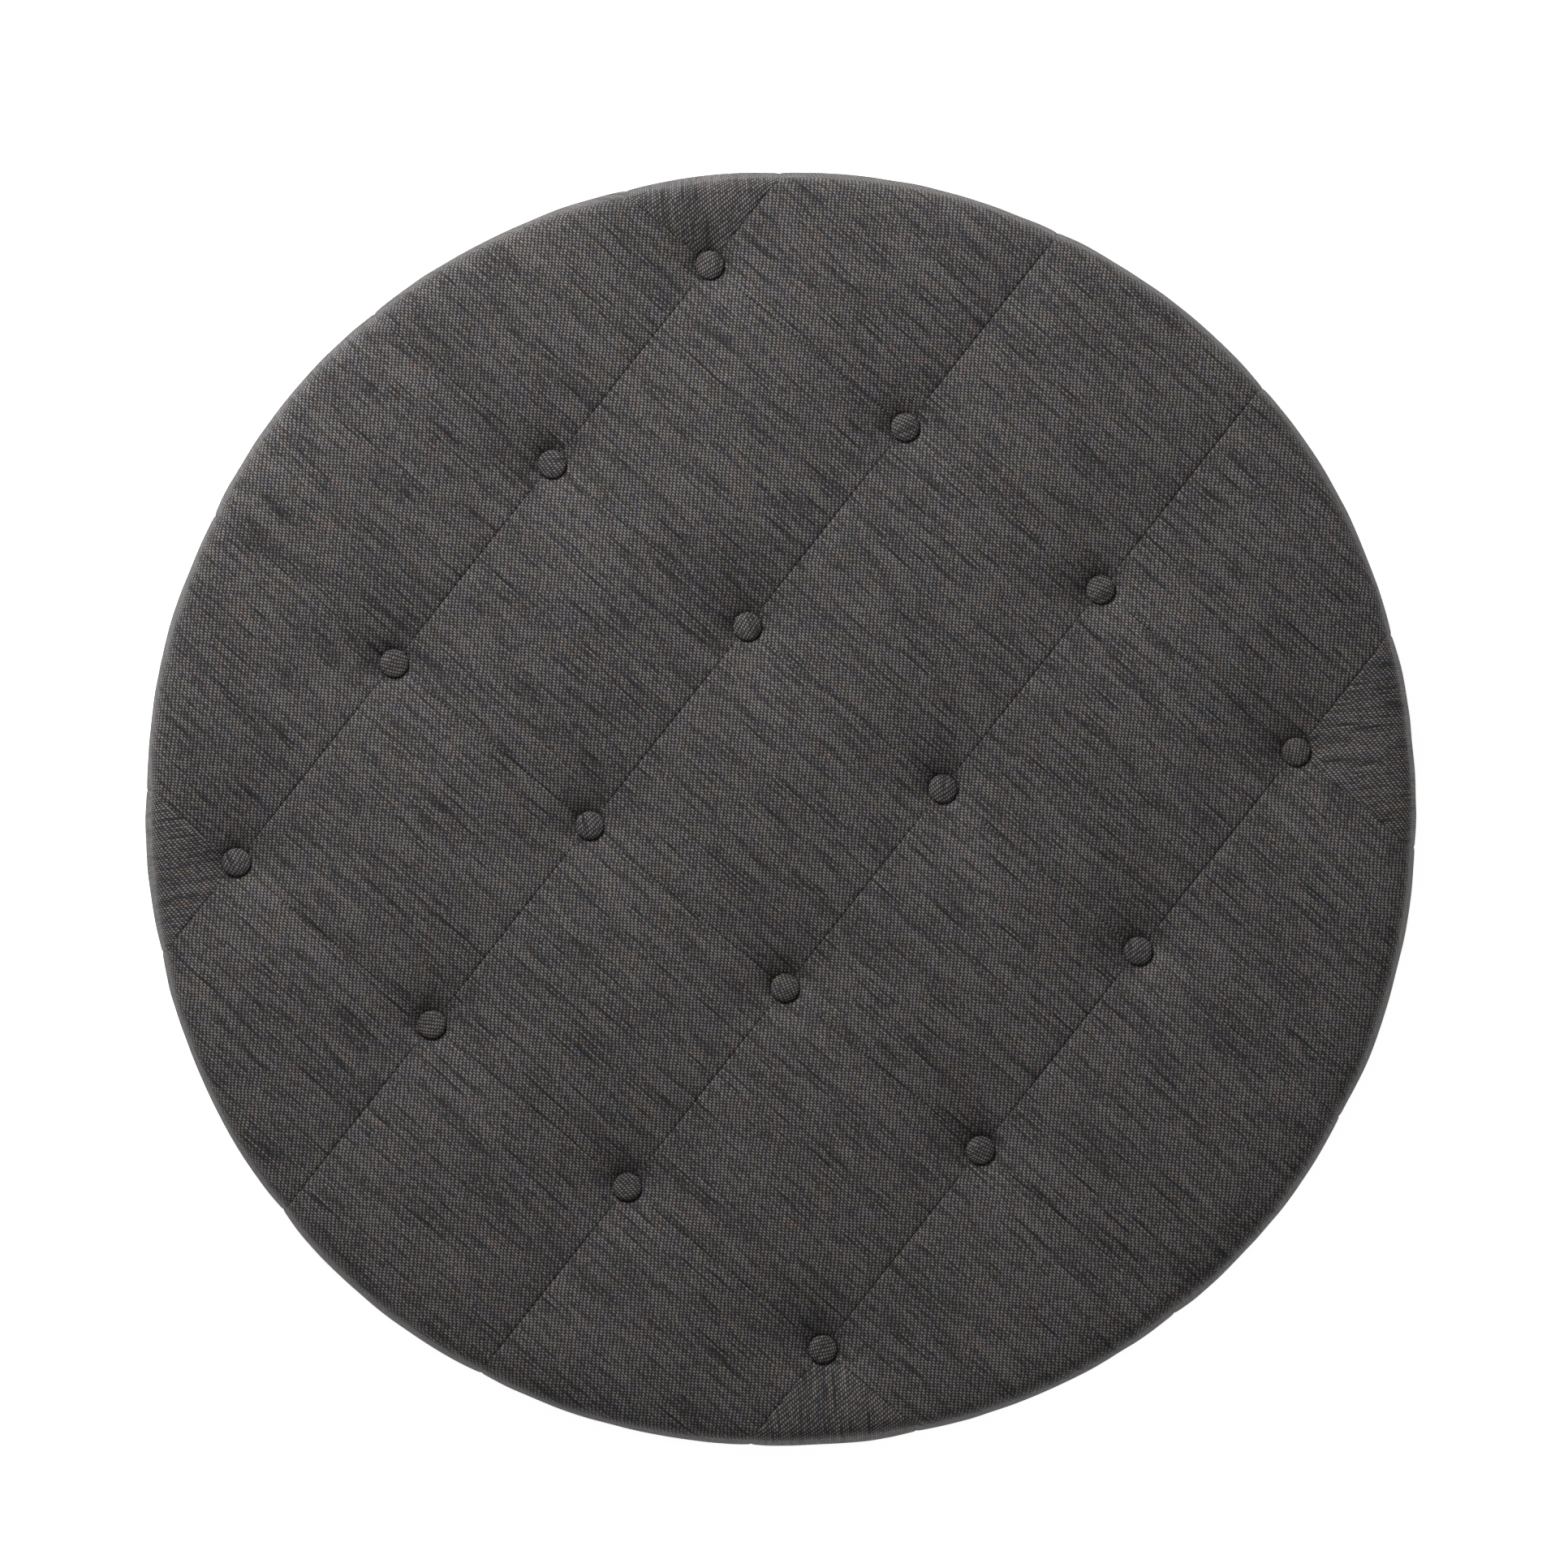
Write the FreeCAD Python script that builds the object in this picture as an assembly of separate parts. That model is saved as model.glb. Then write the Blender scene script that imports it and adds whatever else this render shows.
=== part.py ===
import FreeCAD, Part

import os
from math import cos, degrees, radians, sin, sqrt

# Round buttoned floor cushion, in millimetres. The origin is the middle of the underside and +Z is up.
# +X is to the right and +Y to the back as it lies on the floor, with its zip at the back.

# Overall form
cushion_radius = 430.0        # at the belly of the side, its widest
cushion_height = 180.0        # floor to the top of the panels
belly_height = 94.0           # floor to the widest level; the side slopes in above and below it
rim_roll = 26.0               # radius of the soft edge round the top
rim_inset = 4.0               # how far the rim stands in from the belly
base_inset = 6.0              # how far the straight band at the floor stands in from the belly
base_roll = 14.0              # radius of the turned-under edge at the floor
foam_corner = 6.0             # radius of the foam's own lower edge

# Layers, from the outside in
cover_cloth = 1.2
wadding = 12.0
comfort_foam = 38.0
wadding_hem_height = 6.0      # the wadding stops this far above the floor

# Buttons and the seams that run through them
buttons_per_row = 4
corner_margin = 68.0          # belly to the centre of a corner button
grid_shift_x = -9.7           # middle of the button grid from the middle of the cushion
grid_shift_y = 1.2
row_angle = 51.6              # the two seam directions, in degrees from +X
column_angle = -39.7
well_depth = 15.0             # top of the panels to the floor of a button's well
well_radius = 34.0

# Covered button
button_radius = 9.5
button_rise = 5.0             # seat to the top of the dome
button_edge = 1.6             # height of the straight edge under the dome
button_cloth = 0.7
button_metal = 0.7
button_play = 0.8             # between the button and the edge of its seat
back_thickness = 1.0
eye_radius = 2.4
eye_wire = 0.55

# Tufting twine and its tie-off under the foam
twine_radius = 0.6
twine_spread = 1.2            # from the middle of the pair to each strand
twine_play = 0.3
channel_radius = 4.5          # bore through the cover and the filling
disc_radius = 14.0
disc_thickness = 1.6
disc_play = 1.0
knot_radius = 2.6
knot_height = 2.4

# Zip in the base seam
zip_middle = 90.0             # direction of its middle, in degrees from +X
zip_arc = 130.0
zip_opening = 16.0            # height of the gap in the cloth
tape_width = 13.0
tape_thickness = 0.6
tape_overrun = 14.0           # tape past each end of the chain
chain_slot = 1.0              # between the two coils
coil_height = 2.5
coil_thickness = 2.2
stop_length = 3.0
stop_margin = 2.0             # end of the chain to its stop
zip_recess = 6.0              # depth of the hollow in the wadding behind the zip
recess_overrun = 6.0
tape_margin = 2.0             # lower tape to the turned-under edge
band_margin = 4.0             # upper tape to the top of the straight band

# Slider and pull
slider_length = 11.0
slider_play = 0.3
plate_thickness = 1.2
inner_plate = 1.0
slider_flange = 1.2
slider_post = 0.5
post_length = 4.0
bail_length = 8.0
bail_height = 3.2
bail_width = 2.0
bail_wire = 1.1
bar_radius = 0.6              # crossbar of the pull
eye_play = 0.4                # pull's eye to the bail, on each side
cheek_width = 1.2
eye_length = 5.4              # from the crossbar to the far end of the eye
pull_length = 26.0
pull_thickness = 1.2
pull_corner = 2.3
slider_stand_off = 0.6        # slider to the stop at rest and at the end of its travel

big = 4.0 * cushion_radius    # size of cutting tools that must reach past everything

Z_AXIS = FreeCAD.Vector(0, 0, 1)
ORIGIN = FreeCAD.Vector(0, 0, 0)


def vec(x, y, z):
    return FreeCAD.Vector(x, y, z)


def polar(radius, angle, z=0.0):
    return vec(radius * cos(radians(angle)), radius * sin(radians(angle)), z)


def arc_edge(start, middle, end):
    return Part.Arc(start, middle, end).toShape()


def revolved(edges, angle=360.0):
    face = Part.Face(Part.Wire(edges))
    return face.revolve(ORIGIN, Z_AXIS, angle)


def cylinder(radius, bottom, top, x=0.0, y=0.0):
    return Part.makeCylinder(radius, top - bottom, vec(x, y, bottom))


def block(x_range, y_range, z_range):
    low = vec(x_range[0], y_range[0], z_range[0])
    sizes = [ends[1] - ends[0] for ends in (x_range, y_range, z_range)]
    return Part.makeBox(*sizes, low)


def arc_of(length):
    """Angle in degrees that a length covers on the straight band."""
    return degrees(length / band_radius)


def ring(inner, outer, bottom, top, start, end):
    """A band of a ring from one direction to another."""
    corners = [vec(inner, 0, bottom), vec(outer, 0, bottom), vec(outer, 0, top), vec(inner, 0, top)]
    band = revolved([Part.makePolygon(corners + corners[:1])], end - start)
    band.rotate(ORIGIN, Z_AXIS, start)
    return band


def save(name, shape):
    shape.exportStep("parts/" + name + ".step")


# Radii and levels worked out from the sizes above
band_radius = cushion_radius - base_inset
rim_radius = cushion_radius - rim_inset
roll_centre_radius = rim_radius - rim_roll
roll_centre_height = cushion_height - rim_roll
seat_height = cushion_height - well_depth
base_seam_height = base_roll + tape_margin + tape_width
band_height = base_seam_height + tape_width + band_margin
filling_inset = cover_cloth + wadding
grid_pitch = (cushion_radius - corner_margin) * sqrt(2.0) / (buttons_per_row - 1)
row_step = polar(grid_pitch, row_angle)
column_step = polar(grid_pitch, column_angle)
grid_middle = vec(grid_shift_x, grid_shift_y, 0)
half_grid = (buttons_per_row - 1) / 2.0


def cap_height(radius, edge_radius, rise):
    """Height of a round cap above its edge, at a distance from its middle."""
    ball = (edge_radius ** 2 + rise ** 2) / (2.0 * rise)
    return rise - ball + sqrt(ball ** 2 - radius ** 2)


def cushion_form(inset, lift, roll):
    """The whole cushion, moved in by inset all round, lift above the floor, with a rolled lower edge."""
    foot = band_radius - inset - roll
    slant = sqrt(0.5)
    floor_middle = vec(0, 0, lift)
    floor_edge = vec(foot, 0, lift)
    base_bend = vec(foot + roll * slant, 0, lift + roll - roll * slant)
    band_foot = vec(foot + roll, 0, lift + roll)
    band_top = vec(foot + roll, 0, band_height)
    belly = vec(cushion_radius - inset, 0, belly_height)
    rim_foot = vec(rim_radius - inset, 0, roll_centre_height)
    rim_reach = (rim_roll - inset) * slant
    rim_bend = vec(roll_centre_radius + rim_reach, 0, roll_centre_height + rim_reach)
    rim_top = vec(roll_centre_radius, 0, cushion_height - inset)
    top_middle = vec(0, 0, cushion_height - inset)
    edges = [
        Part.makeLine(floor_middle, floor_edge),
        arc_edge(floor_edge, base_bend, band_foot),
        Part.makeLine(band_foot, band_top),
        Part.makeLine(band_top, belly),
        Part.makeLine(belly, rim_foot),
        arc_edge(rim_foot, rim_bend, rim_top),
        Part.makeLine(rim_top, top_middle),
        Part.makeLine(top_middle, floor_middle),
    ]
    return revolved(edges)


def grid_point(row, column):
    """A place on the button grid; rows and columns count from the middle of the grid."""
    return grid_middle + column_step * row + row_step * column


def button_places():
    """(row, column, place) of every button, with the place at the floor of its well."""
    places = []
    for row in range(buttons_per_row):
        for column in range(buttons_per_row):
            spot = grid_point(row - half_grid, column - half_grid)
            spot.z = seat_height
            places.append((row + 1, column + 1, spot))
    return places


seats = button_places()
seat_radius = button_radius + button_play
first_direction = zip_middle - zip_arc / 2.0
last_direction = zip_middle + zip_arc / 2.0


def with_wells(shape, inset):
    """Press a cone-shaped well into the top of a layer at every button."""
    slope = (well_radius - seat_radius) / well_depth
    reach = 2.0 * well_depth + inset
    top_radius = seat_radius + slope * reach
    for _, _, spot in seats:
        floor = spot - vec(0, 0, inset)
        shape = shape.cut(Part.makeCone(seat_radius, top_radius, reach, floor))
    return shape


def with_channels(shape, top_clearance=0.0):
    """Bore the twine channel of every button through a layer."""
    for _, _, spot in seats:
        shape = shape.cut(cylinder(channel_radius, -cover_cloth, spot.z + top_clearance, spot.x, spot.y))
    return shape


def zip_gap(depth):
    """The opening in the cloth for the zip, from outside the cushion to a depth behind it."""
    half = zip_opening / 2.0
    low = base_seam_height - half
    high = base_seam_height + half
    return ring(band_radius - depth, cushion_radius, low, high, first_direction, last_direction)


def cover_shell():
    outside = with_wells(cushion_form(0.0, 0.0, base_roll), 0.0)
    return outside.cut(cover_inside())


def cover_inside():
    """The space inside the cloth."""
    return with_wells(cushion_form(cover_cloth, cover_cloth, base_roll - cover_cloth), cover_cloth)


def above(level):
    return cylinder(big, level, level + big)


def grid_cell(row, column):
    """An upright column of space between neighbouring seams; the outermost ones reach past the rim."""
    last = buttons_per_row
    lines = [-half_grid + step for step in range(last)]
    bounds = [-big / grid_pitch] + lines + [big / grid_pitch]
    rows = bounds[row:row + 2]
    columns = bounds[column:column + 2]
    turns = [(0, 0), (1, 0), (1, 1), (0, 1), (0, 0)]
    corners = [grid_point(rows[a], columns[b]) for a, b in turns]
    return Part.Face(Part.makePolygon(corners)).extrude(vec(0, 0, big))


def make_cover():
    """Squares, edge panels and corner gussets, cut along the seams, and the base panel."""
    shell = cover_shell()
    side_and_top = shell.common(above(base_seam_height)).cut(zip_gap(2.0 * cover_cloth))
    side_and_top = with_channels(side_and_top, cover_cloth)
    last = buttons_per_row
    edge_count = 0
    corner_count = 0
    for row in range(last + 1):
        for column in range(last + 1):
            panel = side_and_top.common(grid_cell(row, column))
            outer_row = row in (0, last)
            outer_column = column in (0, last)
            if outer_row and outer_column:
                corner_count += 1
                name = "corner_gusset_%d" % corner_count
            elif outer_row or outer_column:
                edge_count += 1
                name = "edge_panel_%02d" % edge_count
            else:
                name = "top_square_%d_%d" % (row, column)
            save(name, panel)
    save("base_panel", shell.cut(above(base_seam_height)).cut(zip_gap(2.0 * cover_cloth)))


def make_filling():
    """Wadding over the top and side, soft foam on top and firm foam below."""
    filling = with_wells(cushion_form(filling_inset, cover_cloth, foam_corner), filling_inset)
    wrap = cover_inside().cut(filling)
    wrap = wrap.common(above(wadding_hem_height))
    half = tape_width + recess_overrun / 2.0
    low = base_seam_height - half
    high = base_seam_height + half
    start = first_direction - arc_of(tape_overrun + recess_overrun)
    end = last_direction + arc_of(tape_overrun + recess_overrun)
    back = band_radius - cover_cloth - zip_recess
    wrap = wrap.cut(ring(back, cushion_radius, low, high, start, end))
    save("wadding_wrap", with_channels(wrap))
    split = cushion_height - filling_inset - comfort_foam
    filling = with_channels(filling)
    save("comfort_foam", filling.common(above(split)))
    core = filling.cut(above(split))
    pocket = cover_cloth + knot_height + disc_thickness + twine_play
    for _, _, spot in seats:
        core = core.cut(cylinder(disc_radius + disc_play, 0.0, pocket, spot.x, spot.y))
    save("foam_core", core)


def button_dome(inset):
    """Solid of a covered button above its seat, moved in by inset at the side and the top."""
    radius = button_radius - inset
    rise = button_rise - inset
    flank_height = button_edge + cap_height(radius / 2.0, radius, rise - button_edge)
    edges = [
        Part.makeLine(vec(0, 0, 0), vec(radius, 0, 0)),
        Part.makeLine(vec(radius, 0, 0), vec(radius, 0, button_edge)),
        arc_edge(vec(radius, 0, button_edge), vec(radius / 2.0, 0, flank_height), vec(0, 0, rise)),
        Part.makeLine(vec(0, 0, rise), vec(0, 0, 0)),
    ]
    return revolved(edges)


def half_ring(radius, wire, direction, upper):
    """Half of a wire ring in an upright plane, its middle at the origin."""
    loop = Part.makeTorus(radius, wire, ORIGIN, direction)
    reach = radius + 2.0 * wire
    z_range = (0.0, reach) if upper else (-reach, 0.0)
    return loop.common(block((-reach, reach), (-reach, reach), z_range))


def make_buttons():
    """One cloth-covered button in each well; metal, wire eyes, twine and tie-offs as groups."""
    cloth = button_dome(0.0).cut(button_dome(button_cloth))
    metal_inset = button_cloth + button_metal
    metal = button_dome(button_cloth).cut(button_dome(metal_inset))
    back = cylinder(button_radius - metal_inset, 0.0, back_thickness)
    eye = half_ring(eye_radius, eye_wire, vec(0, 1, 0), upper=False)
    twine_top = half_ring(twine_spread, twine_radius, vec(1, 0, 0), upper=True)
    twine_top.translate(vec(0, 0, -eye_radius))
    knot_top = cover_cloth + knot_height
    disc = cylinder(disc_radius, knot_top, knot_top + disc_thickness)
    knot = cylinder(knot_radius, cover_cloth, knot_top)
    for side in (-twine_spread, twine_spread):
        hole = cylinder(twine_radius + twine_play, knot_top, knot_top + disc_thickness, 0, side)
        disc = disc.cut(hole)
    groups = {"button_shells_1": [], "button_shells_2": [], "button_backs": [], "button_eyes": []}
    groups.update({"tufting_twines": [], "tie_off_discs": [], "twine_knots": []})
    for row, column, spot in seats:
        save("button_%d_%d" % (row, column), cloth.translated(spot))
        shells = "button_shells_1" if 2 * row <= buttons_per_row else "button_shells_2"
        groups[shells].append(metal.translated(spot))
        groups["button_backs"].append(back.translated(spot))
        groups["button_eyes"].append(eye.translated(spot))
        twine = twine_top.translated(spot)
        for side in (-twine_spread, twine_spread):
            foot = spot.z - eye_radius
            twine = twine.fuse(cylinder(twine_radius, knot_top, foot, spot.x, spot.y + side))
        groups["tufting_twines"].append(twine.removeSplitter())
        on_floor = vec(spot.x, spot.y, 0)
        groups["tie_off_discs"].append(disc.translated(on_floor))
        groups["twine_knots"].append(knot.translated(on_floor))
    for name, solids in groups.items():
        save(name, Part.makeCompound(solids))


tape_face = band_radius - cover_cloth
tape_back = tape_face - tape_thickness
coil_face = tape_face + coil_thickness
chain_edge = chain_slot / 2.0 + coil_height


def make_zip_tapes():
    """Two tapes sewn behind the cloth, each with its coil, and the stops at both ends."""
    overrun = arc_of(tape_overrun)
    for name, side in (("upper", 1), ("lower", -1)):
        levels = [base_seam_height + side * step for step in (chain_slot / 2.0, tape_width, chain_edge)]
        tape_low, tape_high = sorted((levels[0], levels[1]))
        coil_low, coil_high = sorted((levels[0], levels[2]))
        start = first_direction - overrun
        end = last_direction + overrun
        save("zip_tape_" + name, ring(tape_back, tape_face, tape_low, tape_high, start, end))
        coil = ring(tape_face, coil_face, coil_low, coil_high, first_direction, last_direction)
        save("zip_coil_" + name, coil)
    stops = []
    low = base_seam_height - chain_edge
    high = base_seam_height + chain_edge
    for start in (stop_start(0), stop_start(1)):
        clip = ring(coil_face, coil_face + plate_thickness, low, high, start, start + arc_of(stop_length))
        stops.append(clip)
    save("zip_end_stops", Part.makeCompound(stops))


def stop_start(end):
    """Direction where a stop begins: 0 is the closed end of the zip and 1 the open end."""
    if end == 0:
        return first_direction + arc_of(stop_margin)
    return last_direction - arc_of(stop_margin + stop_length)


plate_face = coil_face + slider_play
plate_top = plate_face + plate_thickness
bail_top = plate_top + bail_height
pivot_radius = plate_top + (bail_height - bail_wire) / 2.0
slider_rest = stop_start(0) + arc_of(stop_length + slider_stand_off + slider_length / 2.0)
slider_end = stop_start(1) - arc_of(slider_stand_off + slider_length / 2.0)


def placed_on_zip(shape):
    """From the +X axis at floor level to the slider's place at rest."""
    shape.translate(vec(0, 0, base_seam_height))
    shape.rotate(ORIGIN, Z_AXIS, slider_rest)
    return shape


def make_slider():
    """Two plates joined by a post in the slot, flanges round the coils and a bail for the pull."""
    half_length = slider_length / 2.0
    half_width = chain_edge + slider_play + slider_flange
    along = (-half_length, half_length)
    across = (-half_width, half_width)
    outer = block((plate_face, plate_top), along, across)
    inner_top = tape_back - slider_play
    inner = block((inner_top - inner_plate, inner_top), along, across)
    post_along = (-post_length / 2.0, post_length / 2.0)
    post_across = (-slider_post / 2.0, slider_post / 2.0)
    post = block((inner_top - inner_plate, plate_top), post_along, post_across)
    slider = outer.fuse([inner, post])
    flange_foot = tape_face + slider_play
    for side in (-1, 1):
        levels = sorted((side * half_width, side * (half_width - slider_flange)))
        slider = slider.fuse(block((flange_foot, plate_top), along, levels))
    half_bail = bail_length / 2.0
    bail_across = (-bail_width / 2.0, bail_width / 2.0)
    bail = block((plate_top, bail_top), (-half_bail, half_bail), bail_across)
    inside = half_bail - bail_wire
    bail = bail.cut(block((plate_top, bail_top - bail_wire), (-inside, inside), bail_across))
    slider = slider.fuse(bail).removeSplitter()
    save("zip_slider", placed_on_zip(slider))


def make_pull():
    """A flat tab with an eye round the bail; its crossbar turns under the bail."""
    half_eye = bail_width / 2.0 + eye_play
    half_width = half_eye + cheek_width
    half_thick = pull_thickness / 2.0
    across = (-half_width, half_width)
    tab = block((-half_thick, half_thick), (0.0, pull_length), across)
    corners = [edge for edge in tab.Edges if is_end_corner(edge)]
    tab = tab.makeFillet(min(pull_corner, half_width - eye_play), corners)
    tab = tab.cut(block((-pull_thickness, pull_thickness), (0.0, eye_length), (-half_eye, half_eye)))
    bar = Part.makeCylinder(bar_radius, 2.0 * half_width, vec(0, 0, -half_width))
    pull = tab.fuse(bar).removeSplitter()
    pull.translate(vec(pivot_radius, 0, 0))
    save("zip_pull", placed_on_zip(pull))


def is_end_corner(edge):
    """Whether an edge runs through the tab's thickness at its free end."""
    middle = edge.CenterOfMass
    through = abs(edge.tangentAt(edge.FirstParameter).x) > 0.5
    return through and middle.y > pull_length / 2.0


def main():
    os.makedirs("parts", exist_ok=True)
    make_cover()
    make_filling()
    make_buttons()
    make_zip_tapes()
    make_slider()
    make_pull()
    pivot = polar(pivot_radius, slider_rest, base_seam_height)
    print("pull pivot (m)", [round(value / 1000.0, 6) for value in pivot])
    print("slider travel (degrees)", round(slider_end - slider_rest, 2))


main()
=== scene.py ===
import math

import bmesh
import bpy
import numpy as np
from bpy.props import FloatProperty, FloatVectorProperty, IntProperty, PointerProperty
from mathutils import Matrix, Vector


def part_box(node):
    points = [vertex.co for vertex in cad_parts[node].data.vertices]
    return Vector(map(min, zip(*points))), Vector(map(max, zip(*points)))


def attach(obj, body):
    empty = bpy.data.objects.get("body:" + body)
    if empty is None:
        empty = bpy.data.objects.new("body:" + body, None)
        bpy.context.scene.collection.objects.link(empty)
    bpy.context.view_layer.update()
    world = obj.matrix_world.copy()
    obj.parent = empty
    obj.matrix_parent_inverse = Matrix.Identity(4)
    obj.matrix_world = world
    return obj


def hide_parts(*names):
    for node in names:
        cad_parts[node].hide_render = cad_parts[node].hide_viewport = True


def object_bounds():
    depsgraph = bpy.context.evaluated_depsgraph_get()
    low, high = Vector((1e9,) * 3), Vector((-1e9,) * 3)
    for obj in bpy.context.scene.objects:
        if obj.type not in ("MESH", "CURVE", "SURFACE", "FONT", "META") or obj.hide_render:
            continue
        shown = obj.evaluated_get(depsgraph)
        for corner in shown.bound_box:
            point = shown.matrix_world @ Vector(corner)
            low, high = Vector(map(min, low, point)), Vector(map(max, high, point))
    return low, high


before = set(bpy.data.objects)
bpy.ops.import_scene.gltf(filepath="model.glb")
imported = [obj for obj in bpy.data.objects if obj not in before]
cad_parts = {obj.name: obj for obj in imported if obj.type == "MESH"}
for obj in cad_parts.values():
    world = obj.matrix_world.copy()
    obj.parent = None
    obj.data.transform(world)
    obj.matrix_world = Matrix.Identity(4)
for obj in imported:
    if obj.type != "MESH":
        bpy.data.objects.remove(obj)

bl_info = {
    "name": "Buttoned Floor Cushion",
    "version": (1, 0, 0),
    "blender": (4, 5, 0),
    "location": "View3D > Sidebar > Cushion",
    "description": "Builds a round, pieced and buttoned floor cushion over its frame",
    "category": "Object",
}

MM = 0.001
cad_low, cad_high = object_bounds()

# Sizes read from the frame
BELLY = cad_high.x
HEIGHT = cad_high.z
ROWS = 4
SEATS = {}
for _row in range(1, ROWS + 1):
    for _column in range(1, ROWS + 1):
        _low, _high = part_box("button_%d_%d" % (_row, _column))
        SEATS[_row, _column] = np.array(((_low.x + _high.x) / 2, (_low.y + _high.y) / 2, _low.z))
BUTTON_LOW, BUTTON_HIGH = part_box("button_1_1")
COIL_LOW, COIL_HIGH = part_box("zip_coil_upper")
LOWER_COIL_LOW, LOWER_COIL_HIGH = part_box("zip_coil_lower")
TAPE_LOW, TAPE_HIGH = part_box("zip_tape_upper")
LOWER_TAPE_LOW, LOWER_TAPE_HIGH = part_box("zip_tape_lower")
BASE_LOW, BASE_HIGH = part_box("base_panel")
SEAM_HEIGHT = (COIL_LOW.z + LOWER_COIL_HIGH.z) / 2
ZIP_START = math.acos(COIL_HIGH.x / COIL_HIGH.y)
ZIP_END = math.pi - math.acos(-COIL_LOW.x / COIL_HIGH.y)
ROW_STEP = (SEATS[ROWS, 1] - SEATS[1, 1])[:2] / (ROWS - 1)
COLUMN_STEP = (SEATS[1, ROWS] - SEATS[1, 1])[:2] / (ROWS - 1)

# Sizes shared by the shapes below
VALLEY_SPREAD = 13 * MM
CREASE_SPREAD = 0.9 * MM
PULL_SPREAD = 34 * MM
WELL_FLOOR = 10 * MM
GATHER_RING = 13 * MM
GUSSET_TURNS = (50.0, 137.0, 136.0, 48.0)


def length(name, description, default):
    """A property that holds a length in metres."""
    return FloatProperty(name=name, description=description, default=default, unit="LENGTH")


class CushionForm(bpy.types.PropertyGroup):
    rim_radius: length("Rim radius", "Radius where the rim roll meets the side", BELLY - 4 * MM)
    rim_roll: length("Rim roll", "Radius of the rounded edge between top and side", 10 * MM)
    base_radius: length("Base radius", "Radius of the side at the base seam", BELLY - 6 * MM)
    belly_height: length("Belly height", "Height at which the side is widest", 94 * MM)
    base_roll: length("Base roll", "Radius of the rounded edge under the base seam", 14 * MM)
    puff: length("Puff", "How far the middle of a panel stands above its flat level", 2 * MM)
    valley: length("Seam valley", "Depth of the broad valley along a seam", 2.6 * MM)
    pinch: length("Seam pinch", "Depth of the narrow crease at a seam", 1.1 * MM)
    well_reach: length("Well reach", "How quickly a button's well fades out", 20 * MM)
    scallop: length("Side scallop", "How far the side pulls in at a seam", 1.2 * MM)
    corner_pull: length("Corner pull", "How far the four corner buttons pull the rim in", 1.7 * MM)
    cloth_thickness: length("Cloth thickness", "Thickness of the cover cloth", 1.1 * MM)
    panel_steps: IntProperty(name="Panel steps", description="Cells across one panel", default=84, min=12)
    side_steps: IntProperty(name="Side steps", description="Cells down the side of an outer panel", default=44, min=8)
    pressure: FloatProperty(
        name="Filling pressure", description="Pressure of the filling during the simulation", default=4.0
    )
    swell_cap: length("Swell cap", "The most that a point may move while the filling swells", 6 * MM)
    frames: IntProperty(name="Simulation frames", description="Length of the simulation", default=20, min=1)


class ClothFinish(bpy.types.PropertyGroup):
    weft_pitch: length("Weft pitch", "Distance between two weft yarns", 1.55 * MM)
    float_repeat: length("Float repeat", "Length along the weft from one float to the next", 3.1 * MM)
    weft_direction: FloatProperty(
        name="Weft direction", description="Direction of the weft on the top",
        default=math.radians(-42.0), subtype="ANGLE",
    )
    dark: FloatVectorProperty(
        name="Dark yarn", description="Colour of the ground yarn",
        default=(0.0092, 0.0090, 0.0106), size=3, subtype="COLOR",
    )
    light: FloatVectorProperty(
        name="Light yarn", description="Colour of the floating yarn",
        default=(0.172, 0.152, 0.151), size=3, subtype="COLOR",
    )


class ZipSizes(bpy.types.PropertyGroup):
    tooth_pitch: length("Tooth pitch", "Distance between two turns of the coil", 2.2 * MM)
    stitch_pitch: length("Stitch pitch", "Distance between two stitches beside the zip", 3.6 * MM)
    opening: length("Zip opening", "Height of the gap in the cloth at the zip", 16 * MM)
    dot_pitch: length("Grip dot pitch", "Distance between two grip dots under the base", 14 * MM)
    dot_radius: length("Grip dot radius", "Radius of a grip dot", 1.7 * MM)


class StageSizes(bpy.types.PropertyGroup):
    lens: FloatProperty(name="Lens", description="Focal length of the camera in millimetres", default=400.0)
    view_width: length("View width", "Width that the camera sees at the belly", 1.0597)
    centre_x: length("View centre X", "Where the camera looks, across", 2.2 * MM)
    centre_y: length("View centre Y", "Where the camera looks, up the view", 16.7 * MM)
    key_power: FloatProperty(name="Key light", description="Power of the large light at the upper left", default=48.0)
    dome_strength: FloatProperty(name="Dome light", description="Strength of the even light all round", default=0.34)


# ---------------------------------------------------------------- the skin of the cushion


def smooth(low, high, x):
    t = np.clip((x - low) / (high - low), 0.0, 1.0)
    return t * t * (3.0 - 2.0 * t)


def form():
    return bpy.context.scene.cushion_form


def side_radius(z):
    """Radius of the plain side at a height, on a parabola through the rim, the belly and the base seam."""
    f = form()
    marks = ((HEIGHT - f.rim_roll, f.rim_radius), (f.belly_height, BELLY), (SEAM_HEIGHT, f.base_radius))
    total = 0.0
    for zi, share in marks:
        for zj, _ in marks:
            if zj != zi:
                share = share * (z - zj) / (zi - zj)
        total = total + share
    return total


def flat_radius():
    return form().rim_radius - form().rim_roll


def fold_reach():
    """Distance from the middle at which the patches of the edge panels turn down the side."""
    return flat_radius() + 8 * MM


def side_reach():
    """Distance from the middle, along the skin, at which the side starts."""
    return flat_radius() + form().rim_roll * math.pi / 2


def seam_reach():
    """Distance from the middle, along the skin, at which the base seam lies."""
    return side_reach() + HEIGHT - form().rim_roll - SEAM_HEIGHT


def between(a, b):
    """The angle between two directions, from 0 to half a turn."""
    return np.abs(np.mod(a - b + math.pi, 2 * math.pi) - math.pi)


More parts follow.
